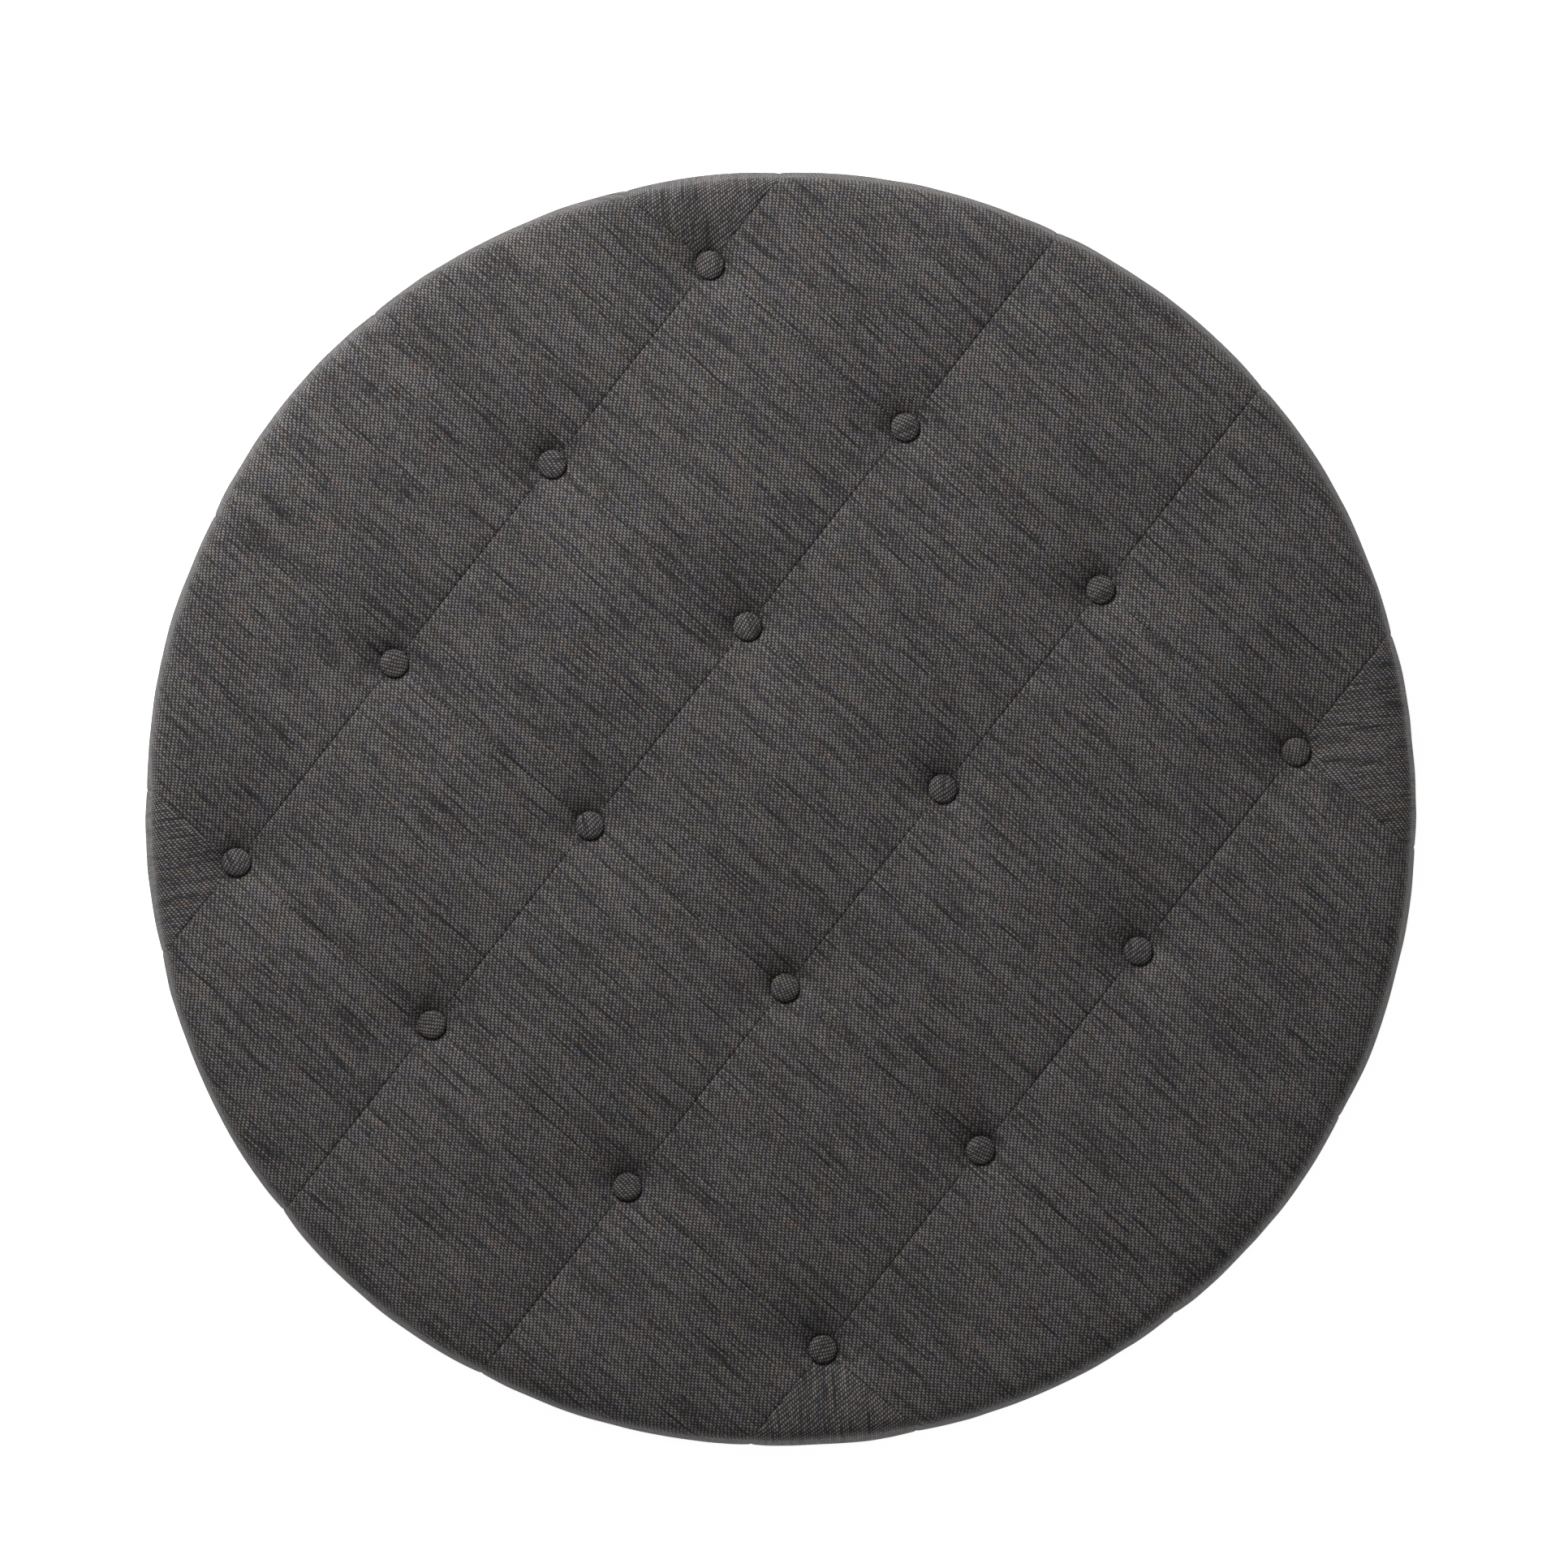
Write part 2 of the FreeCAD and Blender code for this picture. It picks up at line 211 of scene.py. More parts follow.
def gap_lift(azimuth):
    """How far the cloth's edge stands back from the base seam, where the zip is."""
    ease = 12 * MM / form().base_radius
    middle, reach = (ZIP_START + ZIP_END) / 2, (ZIP_END - ZIP_START) / 2
    return bpy.context.scene.zip_sizes.opening / 2 * (1 - smooth(reach, reach + ease, between(azimuth, middle)))


def skin(x, y):
    """Points and outward directions on the plain skin, for points of the cutting plan."""
    f = form()
    reach = np.hypot(x, y)
    cos, sin = x / np.maximum(reach, 1e-9), y / np.maximum(reach, 1e-9)
    turn = np.clip((reach - flat_radius()) / f.rim_roll, 0.0, math.pi / 2)
    down = np.maximum(reach - side_reach(), 0.0)
    z = HEIGHT - f.rim_roll * (1 - np.cos(turn)) - down
    r = np.where(reach < flat_radius(), reach, flat_radius() + f.rim_roll * np.sin(turn))
    r = np.where(down > 0, side_radius(z), r)
    point = np.stack([r * cos, r * sin, z], -1)
    out = np.stack([np.sin(turn) * cos, np.sin(turn) * sin, np.cos(turn)], -1)
    return point, out


def rim_azimuth(start, along):
    """Direction from the middle at which a seam, straight on the plan, meets the rim."""
    b = float(start @ along)
    c = float(start @ start) - fold_reach() ** 2
    end = start + along * (-b + math.sqrt(b * b - c))
    return math.atan2(end[1], end[0])


def seam_distances(plan):
    """Distance to every seam, the strength of each, and how far along it the nearest button is."""
    x, y = plan[..., 0], plan[..., 1]
    reach, azimuth = np.hypot(x, y), np.arctan2(y, x)
    over = smooth(flat_radius() - 4 * MM, flat_radius() + 26 * MM, reach)
    pitch = np.linalg.norm(ROW_STEP)
    found = []
    for k in range(1, ROWS + 1):
        for start, step, strength in ((seat(k, 1), COLUMN_STEP, 1.0), (seat(1, k), ROW_STEP, 0.7)):
            along = step / np.linalg.norm(step)
            dx, dy = x - start[0], y - start[1]
            across = np.abs(dx * along[1] - dy * along[0])
            run = (dx * along[0] + dy * along[1]) / pitch
            nearest = np.abs(run - np.clip(np.round(run), 0, ROWS - 1)) * pitch
            ends = [between(azimuth, rim_azimuth(start, way)) for way in (along, -along)]
            radial = form().rim_radius * np.minimum(*ends)
            found.append((across * (1 - over) + radial * over, strength, nearest))
    return found


def away_from(plan, spot):
    return np.hypot(plan[..., 0] - spot[0], plan[..., 1] - spot[1])


def hash_noise(x, y, scale, seed):
    """Smooth value noise from -1 to 1."""
    u, v = x / scale + seed * 17.13, y / scale - seed * 9.71
    i, j = np.floor(u), np.floor(v)
    fu, fv = u - i, v - j
    fu, fv = fu * fu * (3 - 2 * fu), fv * fv * (3 - 2 * fv)

    def value(a, b):
        return np.mod(np.sin(a * 127.1 + b * 311.7 + seed * 74.7) * 43758.5453, 1.0) * 2 - 1

    low = value(i, j) * (1 - fu) + value(i + 1, j) * fu
    high = value(i, j + 1) * (1 - fu) + value(i + 1, j + 1) * fu
    return low * (1 - fv) + high * fv


def relief(plan, crisp=True):
    """How far the cover stands out from the plain skin; the fine creases only where crisp."""
    f = form()
    x, y = plan[..., 0], plan[..., 1]
    reach, azimuth = np.hypot(x, y), np.arctan2(y, x)
    on_top = 1 - smooth(flat_radius() - 10 * MM, side_reach(), reach)
    near_base = smooth(side_reach() + 90 * MM, side_reach() + 125 * MM, reach)
    on_side = (1 - on_top) * (1 - near_base)
    lift = f.puff * (0.35 + 0.65 * on_top) * (1 - near_base)
    valley, crease, well = np.zeros_like(x), np.zeros_like(x), np.zeros_like(x)
    for apart, strength, nearest in seam_distances(plan):
        pull = np.exp(-nearest / PULL_SPREAD)
        depth = f.valley * (0.5 + 0.9 * strength * pull) * on_top + f.scallop * on_side
        valley = np.maximum(valley, depth * np.exp(-apart / VALLEY_SPREAD))
        sharp = f.pinch * (0.45 + 0.75 * strength * (0.45 + pull) * on_top)
        crease = np.maximum(crease, sharp * np.exp(-((apart / CREASE_SPREAD) ** 1.2)))
    lift = lift - valley - f.corner_pull * (np.cos(4 * azimuth) + 0.4 * np.cos(2 * azimuth)) * on_side
    if crisp:
        lift = lift - crease * (1 - 0.6 * near_base)
    for number, spot in enumerate(SEATS.values()):
        away = away_from(plan, spot)
        fall = np.exp(-((np.maximum(away - WELL_FLOOR, 0) / f.well_reach) ** 0.88))
        depth = (HEIGHT + f.puff - spot[2] + 0.4 * MM) * fall
        if crisp:
            angle = np.arctan2(y - spot[1], x - spot[0])
            gathers = np.sin(angle * 12 + number * 1.7) * 0.6 + np.sin(angle * 19 - number * 2.3) * 0.4
            depth = depth + 0.3 * MM * gathers * np.exp(-(((away - GATHER_RING) / (7 * MM)) ** 2))
        well = np.maximum(well, depth)
    share = np.clip(well / (HEIGHT - min(spot[2] for spot in SEATS.values())), 0, 1)
    lift = lift * (1 - share) - (well - f.puff * share)
    if crisp:
        for height, scale, seed in ((0.55 * MM, 46 * MM, 3), (0.28 * MM, 19 * MM, 5)):
            lift = lift + (1 - share) * height * hash_noise(x, y, scale, seed)
    return lift


def crease_shade(plan):
    """How deep in a crease each point lies, for the painted shade that darkens the cover's colour there and in a ring
    round each button.
    """
    shade = np.zeros(plan.shape[:2])
    # painted shade along each seam, deeper on the stronger seams and near the buttons
    for apart, strength, nearest in seam_distances(plan):
        deep = 0.2 + 0.4 * strength * (0.4 + 0.6 * np.exp(-nearest / (40 * MM)))
        shade = np.maximum(shade, deep * np.exp(-((apart / (0.5 * MM)) ** 2)))
    # painted shade: a dark contact ring round the edge of each button
    for spot in SEATS.values():
        shade = np.maximum(shade, 0.9 * (1 - smooth(9.2 * MM, 11.2 * MM, away_from(plan, spot))))
    return shade


# ---------------------------------------------------------------- panels as patches


def seat(row, column):
    return SEATS[row, column][:2]


def panels():
    """Every cover panel: name, kind and the corners of its patch on the cutting plan."""
    found = []

    def outer(name, kind, first, second, one, two):
        start, end = (rim_azimuth(spot, way / np.linalg.norm(way)) for spot, way in ((first, one), (second, two)))
        end = start + (end - start + math.pi) % (2 * math.pi) - math.pi
        found.append((name, kind, (first, second, start, end)))

    inner = range(1, ROWS)
    for r in inner:
        for c in inner:
            corners = seat(r, c), seat(r, c + 1), seat(r + 1, c), seat(r + 1, c + 1)
            found.append(("top_square_%d_%d" % (r, c), "square", corners))
    sides = [(seat(1, c), seat(1, c + 1), -ROW_STEP) for c in inner]
    for r in inner:
        sides += [(seat(r, c), seat(r + 1, c), way) for c, way in ((1, -COLUMN_STEP), (ROWS, COLUMN_STEP))]
    sides += [(seat(ROWS, c), seat(ROWS, c + 1), ROW_STEP) for c in inner]
    for number, (first, second, way) in enumerate(sides, 1):
        outer("edge_panel_%02d" % number, "edge", first, second, way, way)
    ends = [(r, c) for r in (1, ROWS) for c in (1, ROWS)]
    for number, (r, c) in enumerate(ends, 1):
        one, two = (-ROW_STEP if r == 1 else ROW_STEP), (-COLUMN_STEP if c == 1 else COLUMN_STEP)
        outer("corner_gusset_%d" % number, "gusset", seat(r, c), seat(r, c), one, two)
    return found


def eased(count):
    """Steps from 0 to 1 that crowd towards both ends."""
    t = np.linspace(0.0, 1.0, count + 1)
    return t - 0.86 * np.sin(2 * math.pi * t) / (2 * math.pi)


def plan_of(kind, corners, u, v):
    """Plan points of a patch. u runs along the inner seam, v outwards; v over 1 goes down the side."""
    u, v = np.meshgrid(u, v, indexing="ij")
    u, v = u[..., None], v[..., None]
    if kind == "square":
        a, b, c, d = corners
        return (a * (1 - u) + b * u) * (1 - v) + (c * (1 - u) + d * u) * v
    first, second, start, end = corners
    azimuth = start * (1 - u) + end * u
    way = np.concatenate([np.cos(azimuth), np.sin(azimuth)], -1)
    inner = first * (1 - u) + second * u
    turn = fold_reach()
    low_edge = seam_reach() - gap_lift(azimuth)
    on_plan = inner * (1 - v) + way * turn * v
    beyond = way * (turn + (low_edge - turn) * (v - 1))
    return np.where(v <= 1, on_plan, beyond)


def interpolate(coarse, fine):
    """Weights that carry values at the coarse steps to the fine ones on a smooth curve."""
    weights = np.zeros((len(fine), len(coarse)))
    last = len(coarse) - 1
    for i, t in enumerate(fine):
        k = int(np.clip(np.searchsorted(coarse, t, side="right") - 1, 0, last - 1))
        s = (t - coarse[k]) / (coarse[k + 1] - coarse[k])
        share = (
            -0.5 * s + s**2 - 0.5 * s**3,
            1 - 2.5 * s**2 + 1.5 * s**3,
            0.5 * s + 2 * s**2 - 1.5 * s**3,
            -0.5 * s**2 + 0.5 * s**3,
        )
        for j, w in zip(np.clip([k - 1, k, k + 1, k + 2], 0, last), share):
            weights[i, j] += w
    return weights


def grid_faces(nu, nv, flip=False):
    i, j = np.meshgrid(np.arange(nu - 1), np.arange(nv - 1), indexing="ij")
    a = (i * nv + j).ravel()
    quads = np.stack([a, a + nv, a + nv + 1, a + 1], -1)
    return quads[:, ::-1] if flip else quads


def ring_faces(rings, around):
    """Quads between neighbouring closed rings of points."""
    i, j = (part.ravel() for part in np.meshgrid(np.arange(rings - 1), np.arange(around), indexing="ij"))
    k = (j + 1) % around
    return np.stack([i * around + j, (i + 1) * around + j, (i + 1) * around + k, i * around + k], -1)


def linked(name, mesh):
    piece = bpy.data.objects.new(name, mesh)
    bpy.context.scene.collection.objects.link(piece)
    return piece


def new_mesh(name, points, faces):
    mesh = bpy.data.meshes.new(name)
    mesh.from_pydata([tuple(p) for p in points], [], [tuple(f) for f in faces])
    mesh.update()
    return linked(name, mesh)


def evaluated(piece):
    bpy.context.view_layer.update()
    return piece.evaluated_get(bpy.context.evaluated_depsgraph_get())


def shade_smooth(piece, angle=None):
    piece.data.polygons.foreach_set("use_smooth", [True] * len(piece.data.polygons))
    if angle is not None:
        piece.data.set_sharp_from_angle(angle=angle)
    piece.data.update()


def cleaned(piece, distance=None):
    """Merges points closer than the distance, or without one turns all faces outwards."""
    work = bmesh.new()
    work.from_mesh(piece.data)
    if distance is None:
        bmesh.ops.recalc_face_normals(work, faces=work.faces)
    else:
        bmesh.ops.remove_doubles(work, verts=work.verts, dist=distance)
        bmesh.ops.dissolve_degenerate(work, edges=work.edges, dist=1e-7)
    work.to_mesh(piece.data)
    work.free()
    piece.data.update()


def lay_threads(piece, at_points):
    """Stores thread coordinates, given for each point, on a piece."""
    corner = np.empty(len(piece.data.loops), np.int64)
    piece.data.loops.foreach_get("vertex_index", corner)
    piece.data.uv_layers.new(name="threads").data.foreach_set("uv", np.asarray(at_points)[corner].ravel())


def settle(piece, slot, finish, *nodes, body="cushion"):
    """Gives a finished piece its body and its finish, and hides the nodes it stands for. The slot is not used."""
    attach(piece, body)
    if nodes:
        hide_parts(*nodes)
    dress(piece.data, finish)


def dress(mesh, finish):
    mesh.materials.clear()
    mesh.materials.append(bpy.data.materials[finish])


def simulate_filling():
    """Swells a coarse cover over its filling and returns, for each panel, how its points move."""
    f = form()
    across = np.linspace(0, 1, 21)
    outward = np.concatenate([across, 1 + np.linspace(0, 1, 15)[1:]])
    points, faces, hold, index, start = [], [], [], {}, 0
    for name, kind, corners in panels():
        v = across if kind == "square" else outward
        plan = plan_of(kind, corners, across, v)
        base, out = skin(plan[..., 0], plan[..., 1])
        place = base + out * relief(plan, crisp=False)[..., None]
        away = np.min([away_from(plan, spot) for spot in SEATS.values()], axis=0)
        pin = (away < 16 * MM) * 1.0
        for apart, strength, _ in seam_distances(plan):
            pin = np.maximum(pin, 0.55 * strength * (apart < 1 * MM))
        if kind != "square":
            pin[:, -2:] = 1.0
        nu, nv = pin.shape
        points.append(place.reshape(-1, 3))
        hold.append(pin.ravel())
        faces.append(grid_faces(nu, nv, wound_inwards(place)) + start)
        index[name] = (start, nu, nv, across, v)
        start += nu * nv
    points, faces, hold = np.concatenate(points), np.concatenate(faces), np.concatenate(hold)
    key = np.round(points / 1e-5).astype(np.int64)
    _, first, back = np.unique(key, axis=0, return_index=True, return_inverse=True)
    back = back.ravel()
    loops = [list(dict.fromkeys(face.tolist())) for face in back[faces]]
    cover = new_mesh("filling", points[first], [loop for loop in loops if len(loop) > 2])
    group = cover.vertex_groups.new(name="held")
    for vertex, weight in enumerate(hold[first]):
        if weight > 0:
            group.add([vertex], float(weight), "REPLACE")
    cloth = cover.modifiers.new("cloth", "CLOTH")
    settings = cloth.settings
    settings.quality = 5
    settings.mass = 0.3
    settings.tension_stiffness = settings.compression_stiffness = 18
    settings.shear_stiffness = 8
    settings.bending_stiffness = 1.5
    settings.use_pressure = True
    settings.uniform_pressure_force = f.pressure
    settings.effector_weights.gravity = 0
    settings.vertex_group_mass = "held"
    settings.pin_stiffness = 1.0
    cloth.point_cache.frame_start, cloth.point_cache.frame_end = 1, f.frames
    scene = bpy.context.scene
    for number in range(1, f.frames + 1):
        scene.frame_set(number)
    swollen = cover.evaluated_get(bpy.context.evaluated_depsgraph_get())
    after = np.empty(len(cover.data.vertices) * 3)
    swollen.data.vertices.foreach_get("co", after)
    moved = after.reshape(-1, 3) - points[first]
    scene.frame_set(1)
    bpy.data.objects.remove(cover)
    size = np.linalg.norm(moved, axis=1, keepdims=True)
    moved = moved * np.tanh(size / f.swell_cap) * f.swell_cap / np.maximum(size, 1e-9)
    out = points[first] - np.array((0.0, 0.0, HEIGHT / 2))
    out[np.hypot(points[first][:, 0], points[first][:, 1]) < flat_radius()] = (0.0, 0.0, 1.0)
    out /= np.linalg.norm(out, axis=1, keepdims=True)
    sunk = np.minimum((moved * out).sum(1) + 0.8 * MM, 0.0)
    moved = (moved - sunk[:, None] * out)[back]
    return {name: (moved[s : s + nu * nv].reshape(nu, nv, 3), u, v) for name, (s, nu, nv, u, v) in index.items()}


def wound_inwards(place):
    """Whether grid faces made in u, v order would point into the cushion."""
    i, j = place.shape[0] // 2, place.shape[1] // 2
    across, outward = place[i + 1, j] - place[i, j], place[i, j + 1] - place[i, j]
    middle = np.array((0.0, 0.0, HEIGHT / 2))
    return float(np.cross(across, outward) @ (place[i, j] - middle)) < 0


def turned_threads(x, y, turn, shift):
    """Thread coordinates of a piece cut with its weft turned from the X axis."""
    a = x * math.cos(turn) + y * math.sin(turn) + shift[0]
    b = -x * math.sin(turn) + y * math.cos(turn) + shift[1]
    return np.stack([a, b], -1)


def panel_threads(kind, name, plan, corners):
    """Thread coordinates, in metres, of the plan points of a panel, its side unrolled outwards."""
    reach = np.hypot(plan[..., 0], plan[..., 1])
    held = np.minimum(reach, form().rim_radius)
    flat = plan * (held / np.maximum(reach, 1e-9))[..., None]
    if kind != "square":
        middle = (corners[2] + corners[3]) / 2
        flat = flat + (reach - held)[..., None] * np.array((math.cos(middle), math.sin(middle)))
    turn = bpy.context.scene.cloth_finish.weft_direction
    if kind == "gusset":
        turn += math.radians(GUSSET_TURNS[int(name[-1]) - 1])
    number = sum(ord(letter) * (k + 3) for k, letter in enumerate(name))
    return turned_threads(flat[..., 0], flat[..., 1], turn, (number * 0.0137, number * 0.0071))


def build_panel(name, kind, corners, swell):
    """One cut panel as a thin closed shell with its edges turned in at the seams."""
    f = form()
    u = v = eased(f.panel_steps)
    if kind != "square":
        down = np.linspace(0, 1, f.side_steps + 1)[1:]
        v = np.concatenate([np.linspace(0, 1, f.panel_steps + 1) ** 1.35, 1 + down])
    plan = plan_of(kind, corners, u, v)
    base, out = skin(plan[..., 0], plan[..., 1])
    place = base + out * relief(plan)[..., None]
    if swell is not None:
        moved, coarse_u, coarse_v = swell[name]
        place = place + np.einsum("ai,bj,ijk->abk", interpolate(coarse_u, u), interpolate(coarse_v, v), moved)
    nu, nv = place.shape[:2]
    count = nu * nv
    flip = wound_inwards(place)
    top = grid_faces(nu, nv, flip)
    rim = np.concatenate([
        np.arange(nv), np.arange(1, nu) * nv + nv - 1,
        (nu - 1) * nv + np.arange(nv - 2, -1, -1), np.arange(nu - 2, 0, -1) * nv,
    ])
    following = np.roll(rim, -1)
    wall = np.stack([rim, following, following + count, rim + count], -1)
    if flip:
        wall = wall[:, ::-1]
    points = np.concatenate([place.reshape(-1, 3), (place - out * f.cloth_thickness).reshape(-1, 3)])
    piece = new_mesh(name + "_cloth", points, np.concatenate([top, top[:, ::-1] + count, wall]))
    threads = panel_threads(kind, name, plan, corners).reshape(-1, 2)
    lay_threads(piece, np.tile(threads, (2, 1)))
    # the crease attribute holds painted shade, which darkens the cloth's colour along the seams and round the buttons
    crease = piece.data.attributes.new("crease", "FLOAT", "POINT")
    crease.data.foreach_set("value", np.tile(crease_shade(plan).ravel(), 2))
    if kind == "gusset":
        cleaned(piece, 0.01 * MM)
    shade_smooth(piece)
    settle(piece, "cover_fabric", "cover twill", name)
    quad = place.reshape(-1, 3)[top]
    doubled = np.cross(quad[:, 2] - quad[:, 0], quad[:, 3] - quad[:, 1])
    area = float(np.linalg.norm(doubled, axis=1).sum() / 2)
    span = np.ptp(threads, axis=0)
    span = span * max(1.0, math.sqrt(area / (span[0] * span[1])))


# ---------------------------------------------------------------- node helpers


class Value:
    """A node's output. Sums and products of it are Math nodes."""

    def __init__(self, tree, socket):
        self.tree, self.socket = tree, socket

    def maths(self, operation, *others):
        return made(self.tree, "ShaderNodeMath", self, *others, operation=operation)

    def __add__(self, other):
        return self.maths("ADD", other)

    def __sub__(self, other):
        return self.maths("SUBTRACT", other)

    def __rsub__(self, other):
        return made(self.tree, "ShaderNodeMath", other, self, operation="SUBTRACT")

    def __mul__(self, other):
        return self.maths("MULTIPLY", other)

    def __truediv__(self, other):
        return self.maths("DIVIDE", other)

    def __pow__(self, other):
        return self.maths("POWER", other)

    def stretched(self, *marks):
        """The value carried from one range to another and held at its ends."""
        return made(self.tree, "ShaderNodeMapRange", self, *marks)


def put(tree, socket, value):
    if isinstance(value, Value):
        value = value.socket
    if isinstance(value, bpy.types.NodeSocket):
        tree.links.new(value, socket)
    elif value is not None:
        socket.default_value = value


def add(tree, kind, *values, **settings):
    """A new node. Values fill its inputs in order, Capitalised settings fill them by name."""
    node = tree.nodes.new(kind)
    by_name = {key: settings.pop(key) for key in list(settings) if key[0].isupper()}
    for key, value in settings.items():
        setattr(node, key, value)
    for socket, value in zip(node.inputs, values):
        put(tree, socket, value)
    for key, value in by_name.items():
        put(tree, node.inputs[key.replace("_", " ")], value)
    return node


def made(tree, kind, *values, output=0, **settings):
    """An output of a new node."""
    return Value(tree, add(tree, kind, *values, **settings).outputs[output])


def split(vector):
    node = add(vector.tree, "ShaderNodeSeparateXYZ", vector)
    return [Value(vector.tree, output) for output in node.outputs]


def combine(tree, x, y, z):
    return made(tree, "ShaderNodeCombineXYZ", x, y, z)


def mixed(tree, factor, a, b, blend="MIX"):
    node = add(tree, "ShaderNodeMix", data_type="RGBA", blend_type=blend)
    for number, value in ((0, factor), (6, a), (7, b)):
        put(tree, node.inputs[number], value)
    return Value(tree, node.outputs[2])


def noise(vector, scale, detail=2.0, roughness=0.5):
    return made(vector.tree, "ShaderNodeTexNoise", Vector=vector, Scale=scale, Detail=detail, Roughness=roughness)


def new_group(name, kind, inputs, outputs):
    """A node group with named sockets; returns the tree, its inputs by name and its output node."""
    tree = bpy.data.node_groups.new(name, kind)
    for title, socket_type, default in inputs:
        socket = tree.interface.new_socket(name=title, in_out="INPUT", socket_type="NodeSocket" + socket_type)
        if default is not None:
            socket.default_value = default
    for title, socket_type in outputs:
        tree.interface.new_socket(name=title, in_out="OUTPUT", socket_type="NodeSocket" + socket_type)
    entry = tree.nodes.new("NodeGroupInput")
    return tree, {s.name: Value(tree, s) for s in entry.outputs if s.name}, tree.nodes.new("NodeGroupOutput")


def heather_twill():
    """Thread coordinates in; the colour, roughness and height of a heathered twill out."""
    inputs = (
        ("Threads", "Vector", None),
        ("Weft pitch", "Float", 1.55 * MM),
        ("Float repeat", "Float", 3.1 * MM),
        ("Dark yarn", "Color", (0.03, 0.03, 0.03, 1)),
        ("Light yarn", "Color", (0.2, 0.2, 0.2, 1)),
        ("Speckle", "Float", 0.8),
        ("Painted_shade", "Float", 0.0),
    )
    outputs = (("Color", "Color"), ("Roughness", "Float"), ("Height", "Float"))
    tree, inside, outside = new_group("Heather twill", "ShaderNodeTree", inputs, outputs)
    threads, speckle = inside["Threads"], inside["Speckle"]
    sway = (noise(threads, 60.0, 1.0) - 0.5) * 0.0016 + (noise(threads, 260.0, 1.0) - 0.5) * 0.0011
    along, across = (part + sway for part in split(threads)[:2])
    weft = across / inside["Weft pitch"]
    row = weft.maths("FLOOR")
    run = along / inside["Float repeat"] + row * 0.37
    cell = run.maths("FLOOR")
    chance = made(tree, "ShaderNodeTexWhiteNoise", combine(tree, cell, row, 0.0), noise_dimensions="3D")
    yarn = row * 7.31
    streak = noise(combine(tree, yarn, along * 19.0, 4.0), 1.0, 2.5, 0.55).stretched(0.3, 0.7, 0.15, 1.85)
    slub = noise(combine(tree, weft * 0.16, along * 9.0, 1.3), 1.0, 2.0, 0.5).stretched(0.25, 0.75, 0.8, 1.2)
    wide, long = ((part * math.pi).maths("SINE") for part in (weft - row, run - cell))
    dot = wide**1.5 * long**2.2
    fibre = noise(threads, 2600.0, 2.0, 0.7)
    shown = (chance * speckle + (1.0 - speckle * 0.5)) * streak * slub * (dot * 1.35) * (fibre * 1.1 + 0.45)
    shown = made(tree, "ShaderNodeClamp", shown, 0.0, 1.0)
    colour = mixed(tree, shown, inside["Dark yarn"], inside["Light yarn"])
    tint = add(tree, "ShaderNodeValToRGB", noise(combine(tree, yarn, along * 60.0, 11.0), 1.1, 1.0))
    band = tint.color_ramp.elements
    band[0].position, band[0].color = 0.3, (0.89, 0.98, 1.1, 1)
    band[1].position, band[1].color = 0.72, (1.17, 0.97, 0.9, 1)
    band.new(0.47).color = (1.0, 1.0, 1.0, 1)
    band.new(0.58).color = (0.98, 1.06, 0.94, 1)
    colour = mixed(tree, 1.0, colour, tint.outputs[0], "MULTIPLY")
    # random tone, times painted shade: the painted shade input darkens the colour, by 60 % where it is 1
    shade = (noise(threads, 14.0, 2.0) * 0.2 + 0.9) * (inside["Painted_shade"] * -0.6 + 1.0)
    put(tree, outside.inputs["Color"], mixed(tree, 1.0, colour, combine(tree, shade, shade, shade), "MULTIPLY"))
    put(tree, outside.inputs["Roughness"], fibre * 0.2 + 0.74)
    put(tree, outside.inputs["Height"], dot * 0.8 + fibre * 0.35)
    return tree


def new_material(name, roughness=0.8, metallic=0.0, **constants):
    """A material with its Principled shader; constants go on the shader's own sockets."""
    material = bpy.data.materials.new(name)
    material.use_nodes = True
    tree = material.node_tree
    shader = tree.nodes["Principled BSDF"]
    for key, value in {"Roughness": roughness, "Metallic": metallic, **constants}.items():
        shader.inputs[key.replace("_", " ")].default_value = value
    return material, tree, shader


def surface(tree, shader, colour, roughness, height, distance, strength=1.0):
    bump = made(tree, "ShaderNodeBump", Height=height, Distance=distance, Strength=strength)
    for title, value in (("Base Color", colour), ("Roughness", roughness), ("Normal", bump)):
        put(tree, shader.inputs[title], value)


def own_threads(tree):
    return made(tree, "ShaderNodeUVMap", uv_map="threads")


def object_place(tree):
    return made(tree, "ShaderNodeTexCoord", output="Object")


def twill_material(name):
    """Heathered twill on a piece's own threads, with shade in its creases."""
    finish = bpy.context.scene.cloth_finish
    _, tree, shader = new_material(name, 0.85, Sheen_Weight=0.05, Sheen_Roughness=0.5, Specular_IOR_Level=0.25)
    weave = tree.nodes.new("ShaderNodeGroup")
    weave.node_tree = heather_twill()
    values = {
        "Threads": own_threads(tree),
        # the crease attribute brings the painted shade of the seams and button rings into the weave
        "Painted_shade": made(tree, "ShaderNodeAttribute", output="Fac", attribute_name="crease"),
        "Speckle": 1.0,
        "Weft pitch": finish.weft_pitch,
        "Float repeat": finish.float_repeat,
        "Dark yarn": (*finish.dark, 1),
        "Light yarn": (*finish.light, 1),
    }
    for title, value in values.items():
        put(tree, weave.inputs[title], value)
    surface(tree, shader, *(weave.outputs[title] for title in ("Color", "Roughness", "Height")), 0.35 * MM, 0.8)


